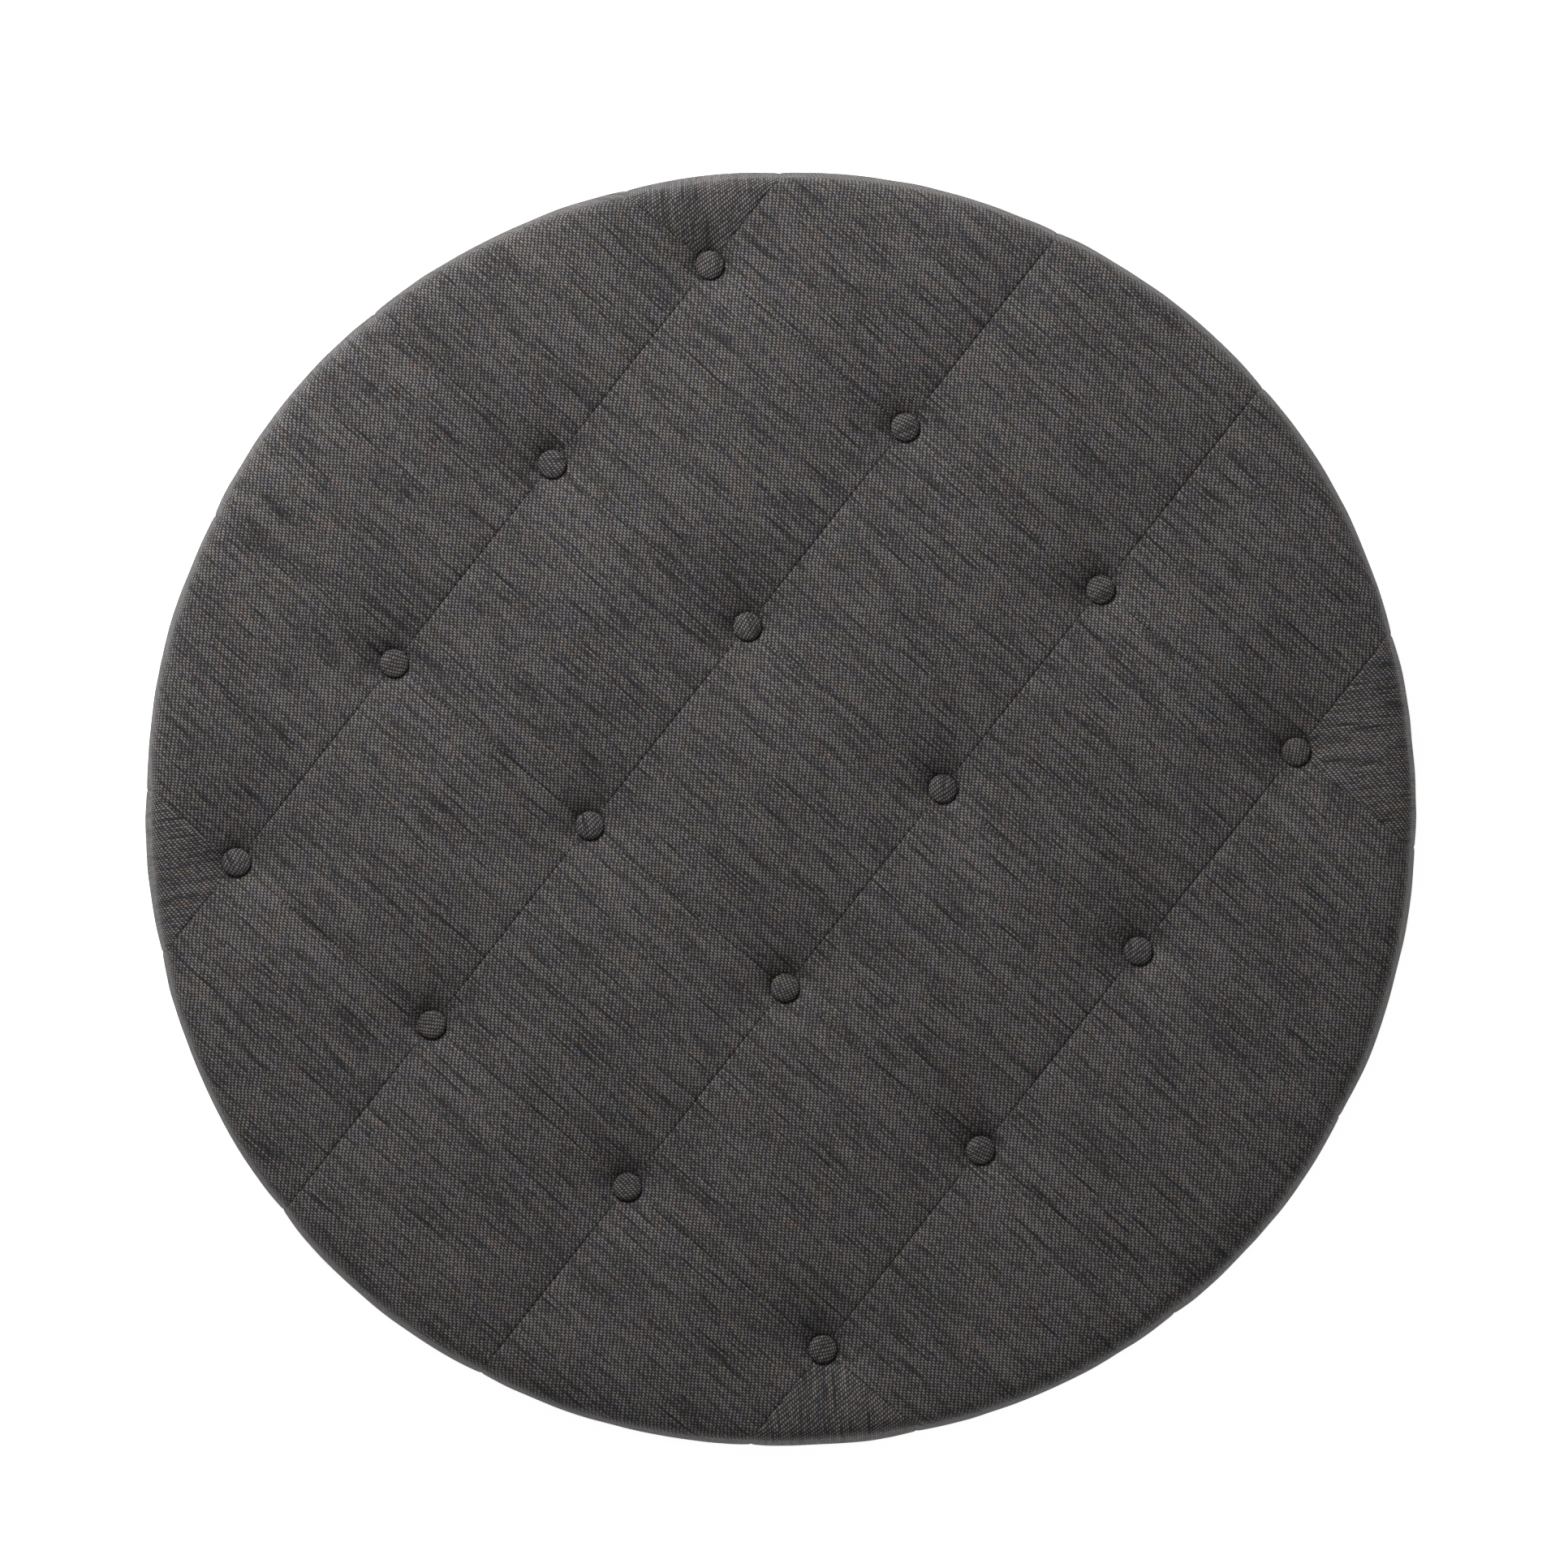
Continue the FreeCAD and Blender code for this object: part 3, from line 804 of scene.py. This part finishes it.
def plain_weave(name, dark, light, pitch):
    """A plain weave on thread coordinates, for the base cloth and the zip tape."""
    _, tree, shader = new_material(name, 0.8, Sheen_Weight=0.08, Specular_IOR_Level=0.3)
    threads = own_threads(tree)
    warp, weft = (part / pitch for part in split(threads)[:2])
    over = ((warp * math.pi).maths("SINE") * (weft * math.pi).maths("SINE")).maths("ABSOLUTE")
    fibre = noise(threads, 1500.0, 2.0)
    cells = made(tree, "ShaderNodeTexWhiteNoise", combine(tree, warp.maths("FLOOR"), weft.maths("FLOOR"), 0.0))
    colour = mixed(tree, over * 0.5 + cells * 0.35, (*dark, 1), (*light, 1))
    surface(tree, shader, colour, fibre * 0.25 + 0.65, over + fibre * 0.4, 0.2 * MM)


def speckled(name, dark, light, scale, bump, roughness=0.6, metallic=0.0, **constants):
    """A finish of two close colours with fine grain, on object coordinates."""
    _, tree, shader = new_material(name, roughness, metallic, **constants)
    place = object_place(tree)
    fine = noise(place, scale, 4.0, 0.6)
    factor = fine * 0.6 + noise(place, scale * 0.12, 2.0) * 0.4
    colour = mixed(tree, factor, (*dark, 1), (*light, 1))
    surface(tree, shader, colour, fine * 0.2 + (roughness - 0.1), fine, bump)


def foam_material(name, colour, scale):
    """Open-cell foam with small round pores, with painted shade inside them."""
    _, tree, shader = new_material(name, 0.9, Specular_IOR_Level=0.2)
    cells = made(tree, "ShaderNodeTexVoronoi", Vector=object_place(tree), Scale=scale)
    pore = made(tree, "ShaderNodeClamp", cells * 0.9 + 0.55, 0.0, 1.0)
    # painted shade: the colour darkens towards the middle of each pore
    shown = mixed(tree, pore, (*(c * 0.5 for c in colour), 1), (*colour, 1))
    surface(tree, shader, shown, pore * 0.1 + 0.85, pore, 0.5 * MM)


# ---------------------------------------------------------------- geometry nodes


def ball(tree, segments, rings, radius, size):
    """A round bead, stretched to a size."""
    bead = add(tree, "GeometryNodeMeshUVSphere", Segments=segments, Rings=rings, Radius=radius)
    return made(tree, "GeometryNodeTransform", Geometry=bead.outputs["Mesh"], Scale=size)


def set_out(tree, inside, outside, points, shape, rotation=None):
    """Places a smooth copy of the shape on every point, makes them real and gives them their finish."""
    smoothed = made(tree, "GeometryNodeSetShadeSmooth", shape)
    placed = made(tree, "GeometryNodeInstanceOnPoints", Points=points, Instance=smoothed, Rotation=rotation)
    real = made(tree, "GeometryNodeRealizeInstances", placed)
    put(tree, outside.inputs[0], made(tree, "GeometryNodeSetMaterial", Geometry=real, Material=inside["Finish"]))
    return tree


def beads_on_arc():
    """Like pieces along a level arc: the turns of a zip's coil, or a row of stitches."""
    inputs = (
        ("Arc radius", "Float", 0.4),
        ("Level", "Float", 0.0),
        ("Start", "Float", 0.0),
        ("Sweep", "Float", 1.0),
        ("Spacing", "Float", 0.01),
        ("Bead size", "Vector", None),
        ("Tilt", "Float", 0.0),
        ("Finish", "Material", None),
    )
    tree, inside, outside = new_group("Beads on an arc", "GeometryNodeTree", inputs, (("Geometry", "Geometry"),))
    arc = made(
        tree, "GeometryNodeCurveArc",
        Resolution=256, Radius=inside["Arc radius"], Start_Angle=inside["Start"], Sweep_Angle=inside["Sweep"],
    )
    level = made(tree, "GeometryNodeSetPosition", Geometry=arc, Offset=combine(tree, 0.0, 0.0, inside["Level"]))
    spaced = made(tree, "GeometryNodeResampleCurve", mode="LENGTH", Curve=level, Length=inside["Spacing"])
    points = add(tree, "GeometryNodeCurveToPoints", mode="EVALUATED", Curve=spaced)
    bead = ball(tree, 8, 5, 0.5, inside["Bead size"])
    tilted = made(tree, "GeometryNodeTransform", Geometry=bead, Rotation=combine(tree, 0.0, inside["Tilt"], 0.0))
    facing = made(tree, "FunctionNodeAlignRotationToVector", axis="X", Vector=points.outputs["Tangent"])
    return set_out(tree, inside, outside, points.outputs["Points"], tilted, facing)


def dots_on_disc():
    """Round grip dots in staggered rows over a disc."""
    inputs = (
        ("Disc radius", "Float", 0.4),
        ("Spacing", "Float", 0.014),
        ("Rows", "Int", 71),
        ("Level", "Float", 0.0),
        ("Dot size", "Vector", None),
        ("Finish", "Material", None),
    )
    tree, inside, outside = new_group("Dots on a disc", "GeometryNodeTree", inputs, (("Geometry", "Geometry"),))
    pitch, rows = inside["Spacing"], inside["Rows"]
    row_share = math.sqrt(3) / 2
    span = pitch * (rows - 1.0)
    lattice = made(
        tree, "GeometryNodeMeshGrid", Size_X=span, Size_Y=span * row_share, Vertices_X=rows, Vertices_Y=rows
    )
    x, y, _ = split(made(tree, "GeometryNodeInputPosition"))
    odd = (y / (pitch * row_share)).maths("ROUND").maths("FLOORED_MODULO", 2.0)
    offset = combine(tree, odd * pitch * 0.5, 0.0, inside["Level"])
    moved = made(tree, "GeometryNodeSetPosition", Geometry=lattice, Offset=offset)
    reach = made(tree, "ShaderNodeVectorMath", combine(tree, x, y, 0.0), output="Value", operation="LENGTH")
    outer = reach.maths("GREATER_THAN", inside["Disc radius"])
    kept = made(tree, "GeometryNodeDeleteGeometry", Geometry=moved, Selection=outer)
    return set_out(tree, inside, outside, kept, ball(tree, 10, 4, 1.0, inside["Dot size"]))


def grown(name, group, **values):
    """The plain mesh that a geometry node tree makes, as a new object."""
    holder = new_mesh(name + "_source", [(0, 0, 0)], [])
    modifier = holder.modifiers.new("nodes", "NODES")
    modifier.node_group = group
    for socket in group.interface.items_tree:
        if socket.in_out == "INPUT":
            modifier[socket.identifier] = values[socket.name.replace(" ", "_")]
    mesh = bpy.data.meshes.new_from_object(evaluated(holder))
    mesh.name = name
    bpy.data.objects.remove(holder)
    if not mesh.polygons:
        raise RuntimeError(name + " came out empty")
    return linked(name, mesh)


def joined(name, *pieces):
    """Several meshes as one piece."""
    work = bmesh.new()
    for piece in pieces:
        work.from_mesh(piece.data)
        bpy.data.objects.remove(piece)
    mesh = bpy.data.meshes.new(name)
    work.to_mesh(mesh)
    work.free()
    return linked(name, mesh)


def swept(profile, steps, start, sweep):
    """Points and faces of a closed profile of (radius, height) pairs swept round an upright axis."""
    points = []
    for angle in start + sweep * np.arange(steps + 1) / steps:
        points += [(r * math.cos(angle), r * math.sin(angle), z) for r, z in profile]
    count = len(profile)
    faces = [tuple(range(count)), tuple(steps * count + j for j in reversed(range(count)))]
    for k in range(steps):
        here, there = k * count, (k + 1) * count
        for j in range(count):
            following = (j + 1) % count
            faces.append((here + j, there + j, there + following, here + following))
    return points, faces


def copied(title, node):
    """A copy of a node's own mesh, as a new piece."""
    piece = linked(title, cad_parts[node].data.copy())
    cleaned(piece, 0.005 * MM)
    return piece


# ---------------------------------------------------------------- operators


class StageOperator(bpy.types.Operator):
    """Sets the camera, the soft light and the plain pale floor"""

    bl_idname = "cushion.stage"
    bl_label = "Stage"

    def execute(self, context):
        sizes = context.scene.stage_sizes
        data = bpy.data.cameras.new("camera")
        data.lens, data.sensor_width = sizes.lens, 36.0
        data.clip_start, data.clip_end = 0.1, 100.0
        camera = linked("camera", data)
        away = sizes.view_width * sizes.lens / data.sensor_width
        camera.location = (sizes.centre_x, sizes.centre_y, away + form().belly_height)
        context.scene.camera = camera
        self.lay_floor()
        data = bpy.data.lights.new("key", "AREA")
        data.shape, data.size, data.energy = "DISK", 1.2, sizes.key_power
        key = linked("key", data)
        key.location = (-0.78, 1.4, 1.32)
        key.rotation_euler = (-key.location).to_track_quat("-Z", "Y").to_euler()
        world = bpy.data.worlds.new("dome")
        world.use_nodes = True
        sky = world.node_tree.nodes["Background"].inputs
        sky["Color"].default_value = (1, 1, 1, 1)
        sky["Strength"].default_value = sizes.dome_strength
        context.scene.world = world
        context.scene.view_settings.view_transform = "Standard"
        return {"FINISHED"}

    def lay_floor(self):
        """A pale floor that can be seen through from below, so that the underside can be looked at."""
        floor = new_mesh("floor", [(-9, -9, 0), (9, -9, 0), (9, 9, 0), (-9, 9, 0)], [(0, 1, 2, 3)])
        floor.location.z = -0.5 * MM
        material, tree, shader = new_material("floor paint", 0.9)
        tone = mixed(tree, noise(object_place(tree), 3.0), (0.88, 0.88, 0.88, 1), (0.9, 0.9, 0.9, 1))
        put(tree, shader.inputs["Base Color"], tone)
        shader.inputs["Emission Color"].default_value = (1, 1, 1, 1)
        shader.inputs["Emission Strength"].default_value = 0.8
        clear = made(tree, "ShaderNodeBsdfTransparent")
        below = made(tree, "ShaderNodeNewGeometry", output="Backfacing")
        share = made(tree, "ShaderNodeMixShader", below, shader.outputs[0], clear)
        put(tree, tree.nodes["Material Output"].inputs["Surface"], share)
        floor.data.materials.append(material)


class FinishesOperator(bpy.types.Operator):
    """Makes the finishes that the pieces share"""

    bl_idname = "cushion.finishes"
    bl_label = "Finishes"

    def execute(self, context):
        twill_material("cover twill")
        plain_weave("base cloth", (0.012, 0.012, 0.013), (0.05, 0.05, 0.052), 0.9 * MM)
        plain_weave("zip tape weave", (0.012, 0.012, 0.013), (0.06, 0.06, 0.062), 0.7 * MM)
        black, grey = (0.03, 0.03, 0.03), (0.06, 0.06, 0.06)
        speckled("coil nylon", (0.02, 0.02, 0.021), (0.045, 0.045, 0.047), 900.0, 0.05 * MM, 0.38)
        speckled("zip enamel", (0.018, 0.018, 0.019), (0.032, 0.032, 0.034), 700.0, 0.03 * MM, 0.34, 0.3, Coat_Weight=0.3)
        speckled("button steel", (0.5, 0.5, 0.51), (0.68, 0.68, 0.69), 1200.0, 0.02 * MM, 0.36, 1.0)
        speckled("grip rubber", (0.06, 0.06, 0.062), (0.1, 0.1, 0.103), 1500.0, 0.05 * MM, 0.7)
        speckled("seam thread", black, (0.09, 0.088, 0.087), 2500.0, 0.08 * MM, 0.75, Sheen_Weight=0.1)
        speckled("tufting twine", black, (0.08, 0.08, 0.08), 2500.0, 0.08 * MM, 0.8)
        speckled("disc nylon", grey, (0.12, 0.12, 0.12), 500.0, 0.04 * MM, 0.5)
        speckled("polyester wadding", (0.7, 0.7, 0.68), (0.88, 0.88, 0.86), 160.0, 1.5 * MM, 0.95, Sheen_Weight=0.3)
        foam_material("comfort foam", (0.82, 0.78, 0.6), 700.0)
        foam_material("core foam", (0.6, 0.66, 0.72), 900.0)
        return {"FINISHED"}


class CoverOperator(bpy.types.Operator):
    """Sews the cover from its squares, edge panels and corner gussets"""

    bl_idname = "cushion.cover"
    bl_label = "Cover panels"

    def execute(self, context):
        swell = simulate_filling()
        for name, kind, corners in panels():
            build_panel(name, kind, corners, swell)
        return {"FINISHED"}


class FillingOperator(bpy.types.Operator):
    """Makes the wadding wrap and the two foams under the cover"""

    bl_idname = "cushion.filling"
    bl_label = "Filling"

    def execute(self, context):
        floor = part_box("wadding_wrap")[0].z
        outer = np.linspace(flat_radius(), seam_reach() + SEAM_HEIGHT - floor, 40)[1:]
        reach = np.concatenate([np.linspace(0.002, flat_radius(), 90), outer])
        r, a = np.meshgrid(reach, np.linspace(0, 2 * math.pi, 241)[:-1], indexing="ij")
        plan = np.stack([r * np.cos(a), r * np.sin(a)], -1)
        base, out = skin(plan[..., 0], plan[..., 1])
        inset = 4.6 * MM + 5 * MM * smooth(side_reach() + 60 * MM, side_reach() + 100 * MM, r)
        place = base + out * (relief(plan, crisp=False) - inset)[..., None]
        place[..., 2] = np.maximum(place[..., 2], floor)
        rings, around = r.shape
        ends = [(0.0, 0.0, place[0, :, 2].mean()), (0.0, 0.0, floor)]
        j = np.arange(around)
        k = (j + 1) % around
        last, top = (rings - 1) * around, np.full(around, rings * around)
        faces = [*ring_faces(rings, around), *np.stack([top, j, k], -1), *np.stack([top + 1, last + k, last + j], -1)]
        wadding = new_mesh("wadding", [*place.reshape(-1, 3), *ends], faces)
        shade_smooth(wadding)
        settle(wadding, "wadding", "polyester wadding", "wadding_wrap")
        for node, title, slot, finish, fill in (
            ("comfort_foam", "foam_topper", "soft_foam", "comfort foam", 0.8),
            ("foam_core", "foam_block", "firm_foam", "core foam", 1.0),
        ):
            piece = copied(title, node)
            settle(piece, slot, finish, node)
            shade_smooth(piece, math.radians(30))
        return {"FINISHED"}


class ButtonsOperator(bpy.types.Operator):
    """Covers the sixteen buttons with cloth and finishes their hidden fittings"""

    bl_idname = "cushion.buttons"
    bl_label = "Buttons"

    def execute(self, context):
        radius = (BUTTON_HIGH.x - BUTTON_LOW.x) / 2
        rise = 0.86 * (BUTTON_HIGH.z - BUTTON_LOW.z)
        chance = np.random.default_rng(7)
        for (row, column), spot in SEATS.items():
            turn = float(chance.uniform(0, math.pi))
            shift = chance.uniform(0, 0.02, 2)
            name = "button_%d_%d" % (row, column)
            piece = self.dome(name + "_cover", spot, radius, rise, turn, shift, row * 5 + column)
            settle(piece, "button_fabric", "cover twill", name)
        for finish, nodes in (
            ("button steel", ("button_shells_1", "button_shells_2", "button_backs", "button_eyes")),
            ("tufting twine", ("tufting_twines", "twine_knots")),
            ("disc nylon", ("tie_off_discs",)),
        ):
            for node in nodes:
                dress(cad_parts[node].data, finish)
        return {"FINISHED"}

    def dome(self, name, spot, radius, rise, turn, shift, number):
        """A thin domed cloth cap, pleated a little round its edge."""
        edge, cloth = 1.2 * MM, 0.7 * MM
        t = np.linspace(0, 1, 15)[1:] * math.pi / 2
        # cos(t) is a hair below nothing at the very edge
        height = np.maximum(np.cos(t), 0.0)
        outer = list(zip(radius * np.sin(t) ** 0.92, edge + (rise - edge) * height**0.75))
        outer += [(radius, edge * 0.6), (radius - 0.15 * MM, edge * 0.25), (radius - 0.5 * MM, 0.0)]
        hollow, foot = radius - cloth, edge * 0.9
        inner = [(hollow, 0.0), (hollow, foot)]
        t = np.linspace(1, 0, 9)[1:-1] * math.pi / 2
        inner += list(zip(hollow * np.sin(t), foot + (rise - cloth - foot) * np.cos(t)))
        r, z = np.array(outer + inner).T[..., None]
        steps, count = 48, len(outer) + len(inner)
        angle = 2 * math.pi * np.arange(steps) / steps
        on_outer = (np.arange(count) < len(outer))[:, None]
        r = r + 0.12 * MM * np.sin(angle * 16 + number) * smooth(0.8 * radius, radius, r) * on_outer
        place = np.stack([r * np.cos(angle), r * np.sin(angle), z + 0 * angle], -1).reshape(-1, 3)
        points = np.concatenate([place, [(0.0, 0.0, rise), (0.0, 0.0, rise - cloth)]])
        faces = list(ring_faces(count, steps))
        for k in range(steps):
            n = (k + 1) % steps
            faces.append((count * steps, k, n))
            faces.append((count * steps + 1, (count - 1) * steps + n, (count - 1) * steps + k))
        piece = new_mesh(name, points + spot, faces)
        cleaned(piece)
        shade_smooth(piece)
        spread = 1 + 0.25 * np.maximum(0.0, (rise - points[:, 2]) / rise)
        lay_threads(piece, turned_threads(points[:, 0] * spread, points[:, 1] * spread, turn, shift))
        return piece


class BaseOperator(bpy.types.Operator):
    """Makes the base cloth with its rolled edge and the grip dots under it"""

    bl_idname = "cushion.base"
    bl_label = "Base"

    def execute(self, context):
        f = form()
        sizes = context.scene.zip_sizes
        lift = thickness = 0.9 * MM
        steps = 360
        flat = f.base_radius - f.base_roll
        roll = f.base_roll * math.pi / 2
        full = SEAM_HEIGHT - f.base_roll
        rise = flat + roll + np.linspace(0, 1, 11)[1:] * full
        reach = np.concatenate([np.linspace(4 * MM, flat, 46), flat + np.linspace(0, 1, 15)[1:] * roll, rise])
        r, a = np.meshgrid(reach, 2 * math.pi * np.arange(steps) / steps, indexing="ij")
        turn = np.clip((r - flat) / f.base_roll, 0, math.pi / 2)
        side = full - gap_lift(a) - lift
        up = np.maximum(r - flat - roll, 0) / full * side
        z = lift + f.base_roll * (1 - np.cos(turn)) + up
        ripple = 0.5 * MM * (1 + hash_noise(r * np.cos(a), r * np.sin(a), 55 * MM, 9))
        z = z + 0.5 * ripple * (1 - smooth(flat - 30 * MM, flat, r))
        radius = np.where(r < flat, r, flat + f.base_roll * np.sin(turn))
        radius = radius - 0.9 * MM * smooth(0.85, 1.0, up / np.maximum(side, 1e-6)) * (gap_lift(a) < 1e-4)
        radius = radius + 0.25 * MM * hash_noise(a * f.base_radius, z, 30 * MM, 4) * (up > 0)
        out = np.stack([np.sin(turn) * np.cos(a), np.sin(turn) * np.sin(a), -np.cos(turn)], -1)
        place = np.stack([radius * np.cos(a), radius * np.sin(a), z], -1)
        middle = np.array((0.0, 0.0, z[0].mean()))
        inside = (place - out * thickness).reshape(-1, 3)
        points = np.concatenate([place.reshape(-1, 3), inside, [middle, middle + (0, 0, thickness)]])
        count, last = r.size, r.size - steps
        quads = ring_faces(len(reach), steps)
        faces = [*quads[:, [0, 3, 2, 1]], *(quads[:, [1, 2, 3, 0]] + count)]
        for j in range(steps):
            k = (j + 1) % steps
            faces.append((2 * count, k, j))
            faces.append((2 * count + 1, j + count, k + count))
            faces.append((last + j, last + k, last + k + count, last + j + count))
        piece = new_mesh("base_cloth", points, faces)
        shade_smooth(piece)
        threads = np.stack([(r * np.cos(a)).ravel(), (r * np.sin(a)).ravel()], -1)
        lay_threads(piece, np.concatenate([threads, threads, np.zeros((2, 2))]))
        settle(piece, "base_fabric", "base cloth", "base_panel")
        height = lift + 0.1 * MM
        dots = grown(
            "grip_dots", dots_on_disc(), Disc_radius=flat - 8 * MM, Spacing=sizes.dot_pitch,
            Rows=2 * int(flat / sizes.dot_pitch * 1.16) + 3, Level=height,
            Dot_size=(sizes.dot_radius, sizes.dot_radius, height), Finish=bpy.data.materials["grip rubber"],
        )
        settle(dots, "base_fabric", "grip rubber")
        return {"FINISHED"}


class ZipOperator(bpy.types.Operator):
    """Makes the zip: tapes, coils, stops, slider, pull and the stitches beside it"""

    bl_idname = "cushion.zip"
    bl_label = "Zip"

    def execute(self, context):
        sizes = context.scene.zip_sizes
        face = TAPE_HIGH.y
        depth = COIL_HIGH.y - face
        beads = beads_on_arc()
        along = {"Start": ZIP_START, "Sweep": ZIP_END - ZIP_START}
        self.tape("upper", face, TAPE_LOW.z, TAPE_HIGH.z, TAPE_LOW.z)
        self.tape("lower", face, LOWER_TAPE_LOW.z, LOWER_TAPE_HIGH.z, LOWER_TAPE_HIGH.z)
        for name, low, high, tilt in (
            ("upper", COIL_LOW.z, COIL_HIGH.z, 0.16),
            ("lower", LOWER_COIL_LOW.z, LOWER_COIL_HIGH.z, -0.16),
        ):
            turns = grown(
                "coil_" + name, beads, Arc_radius=face + depth / 2, Level=(low + high) / 2, Spacing=sizes.tooth_pitch,
                Bead_size=(0.95 * MM, depth, float(high - low) + 0.7 * MM), Tilt=tilt,
                Finish=bpy.data.materials["coil nylon"], **along,
            )
            settle(turns, "zip_coil", "coil nylon", "zip_coil_" + name)
        beside = sizes.opening / 2 + 2.4 * MM
        rows = []
        for k, (level, radius) in enumerate((
            (SEAM_HEIGHT + beside, float(side_radius(SEAM_HEIGHT + beside)) + 0.3 * MM),
            (SEAM_HEIGHT - beside, form().base_radius + 0.35 * MM),
        )):
            rows.append(grown(
                "stitch_row_%d" % k, beads, Arc_radius=radius, Level=level, Spacing=sizes.stitch_pitch,
                Bead_size=(2.7 * MM, 0.7 * MM, 0.62 * MM), Tilt=0.0,
                Finish=bpy.data.materials["seam thread"], **along,
            ))
        stitches = joined("zip_stitches", *rows)
        shade_smooth(stitches)
        settle(stitches, "zip_tape", "seam thread")
        for node, title, body, width in (
            ("zip_end_stops", "end_stops", "cushion", 0.25 * MM),
            ("zip_slider", "slider", "slider", 0.3 * MM),
            ("zip_pull", "pull", "pull", 0.35 * MM),
        ):
            piece = copied(title, node)
            bevel = piece.modifiers.new("edge", "BEVEL")
            bevel.width, bevel.segments = width, 2
            bevel.limit_method, bevel.angle_limit = "ANGLE", math.radians(35)
            mesh = bpy.data.meshes.new_from_object(evaluated(piece))
            piece.modifiers.clear()
            piece.data = mesh
            shade_smooth(piece, math.radians(35))
            settle(piece, "zip_metal", "zip enamel", node, body=body)
        return {"FINISHED"}

    def tape(self, name, face, low, high, near):
        """One tape: a thin woven band with a bead along the edge near the coil."""
        overrun = 14 * MM / face
        levels = np.linspace(low, high, 12)
        bead = 0.3 * MM * np.exp(-(((levels - near) / (1.2 * MM)) ** 2))
        wave = 0.15 * MM * np.sin(levels / (0.9 * MM))
        profile = list(zip(face - 0.3 * MM + wave + bead, levels))
        profile += [(face - 0.75 * MM, z) for z in levels[::-1]]
        sweep = ZIP_END - ZIP_START + 2 * overrun
        points, faces = swept(profile, 220, ZIP_START - overrun, sweep)
        tape = new_mesh("tape_" + name, points, faces)
        cleaned(tape)
        shade_smooth(tape, math.radians(50))
        lay_threads(tape, [(math.atan2(y, x) * face, z) for x, y, z in points])
        settle(tape, "zip_tape", "zip tape weave", "zip_tape_" + name)


class CushionPanel(bpy.types.Panel):
    """Lists the sizes and the steps that make the cushion"""

    bl_idname = "CUSHION_PT_build"
    bl_label = "Buttoned Floor Cushion"
    bl_space_type = "VIEW_3D"
    bl_region_type = "UI"
    bl_category = "Cushion"

    def draw(self, context):
        for name in PROPERTY_GROUPS:
            box = self.layout.box()
            group = getattr(context.scene, name)
            for key in PROPERTY_GROUPS[name].__annotations__:
                box.prop(group, key)
        for operator in OPERATORS:
            self.layout.operator(operator.bl_idname)


PROPERTY_GROUPS = {
    "cushion_form": CushionForm, "cloth_finish": ClothFinish, "zip_sizes": ZipSizes, "stage_sizes": StageSizes
}
OPERATORS = (StageOperator, FinishesOperator, CoverOperator, FillingOperator, ButtonsOperator, BaseOperator, ZipOperator)


def register():
    for group in PROPERTY_GROUPS.values():
        bpy.utils.register_class(group)
    for name, group in PROPERTY_GROUPS.items():
        setattr(bpy.types.Scene, name, PointerProperty(type=group))
    for operator in OPERATORS:
        bpy.utils.register_class(operator)
    bpy.utils.register_class(CushionPanel)


def unregister():
    bpy.utils.unregister_class(CushionPanel)
    for operator in reversed(OPERATORS):
        bpy.utils.unregister_class(operator)
    for name, group in reversed(list(PROPERTY_GROUPS.items())):
        delattr(bpy.types.Scene, name)
        bpy.utils.unregister_class(group)


def main():
    register()
    bpy.ops.cushion.stage()
    bpy.ops.cushion.finishes()
    bpy.ops.cushion.cover()
    bpy.ops.cushion.filling()
    bpy.ops.cushion.buttons()
    bpy.ops.cushion.base()
    bpy.ops.cushion.zip()


if __name__ == "__main__":
    main()
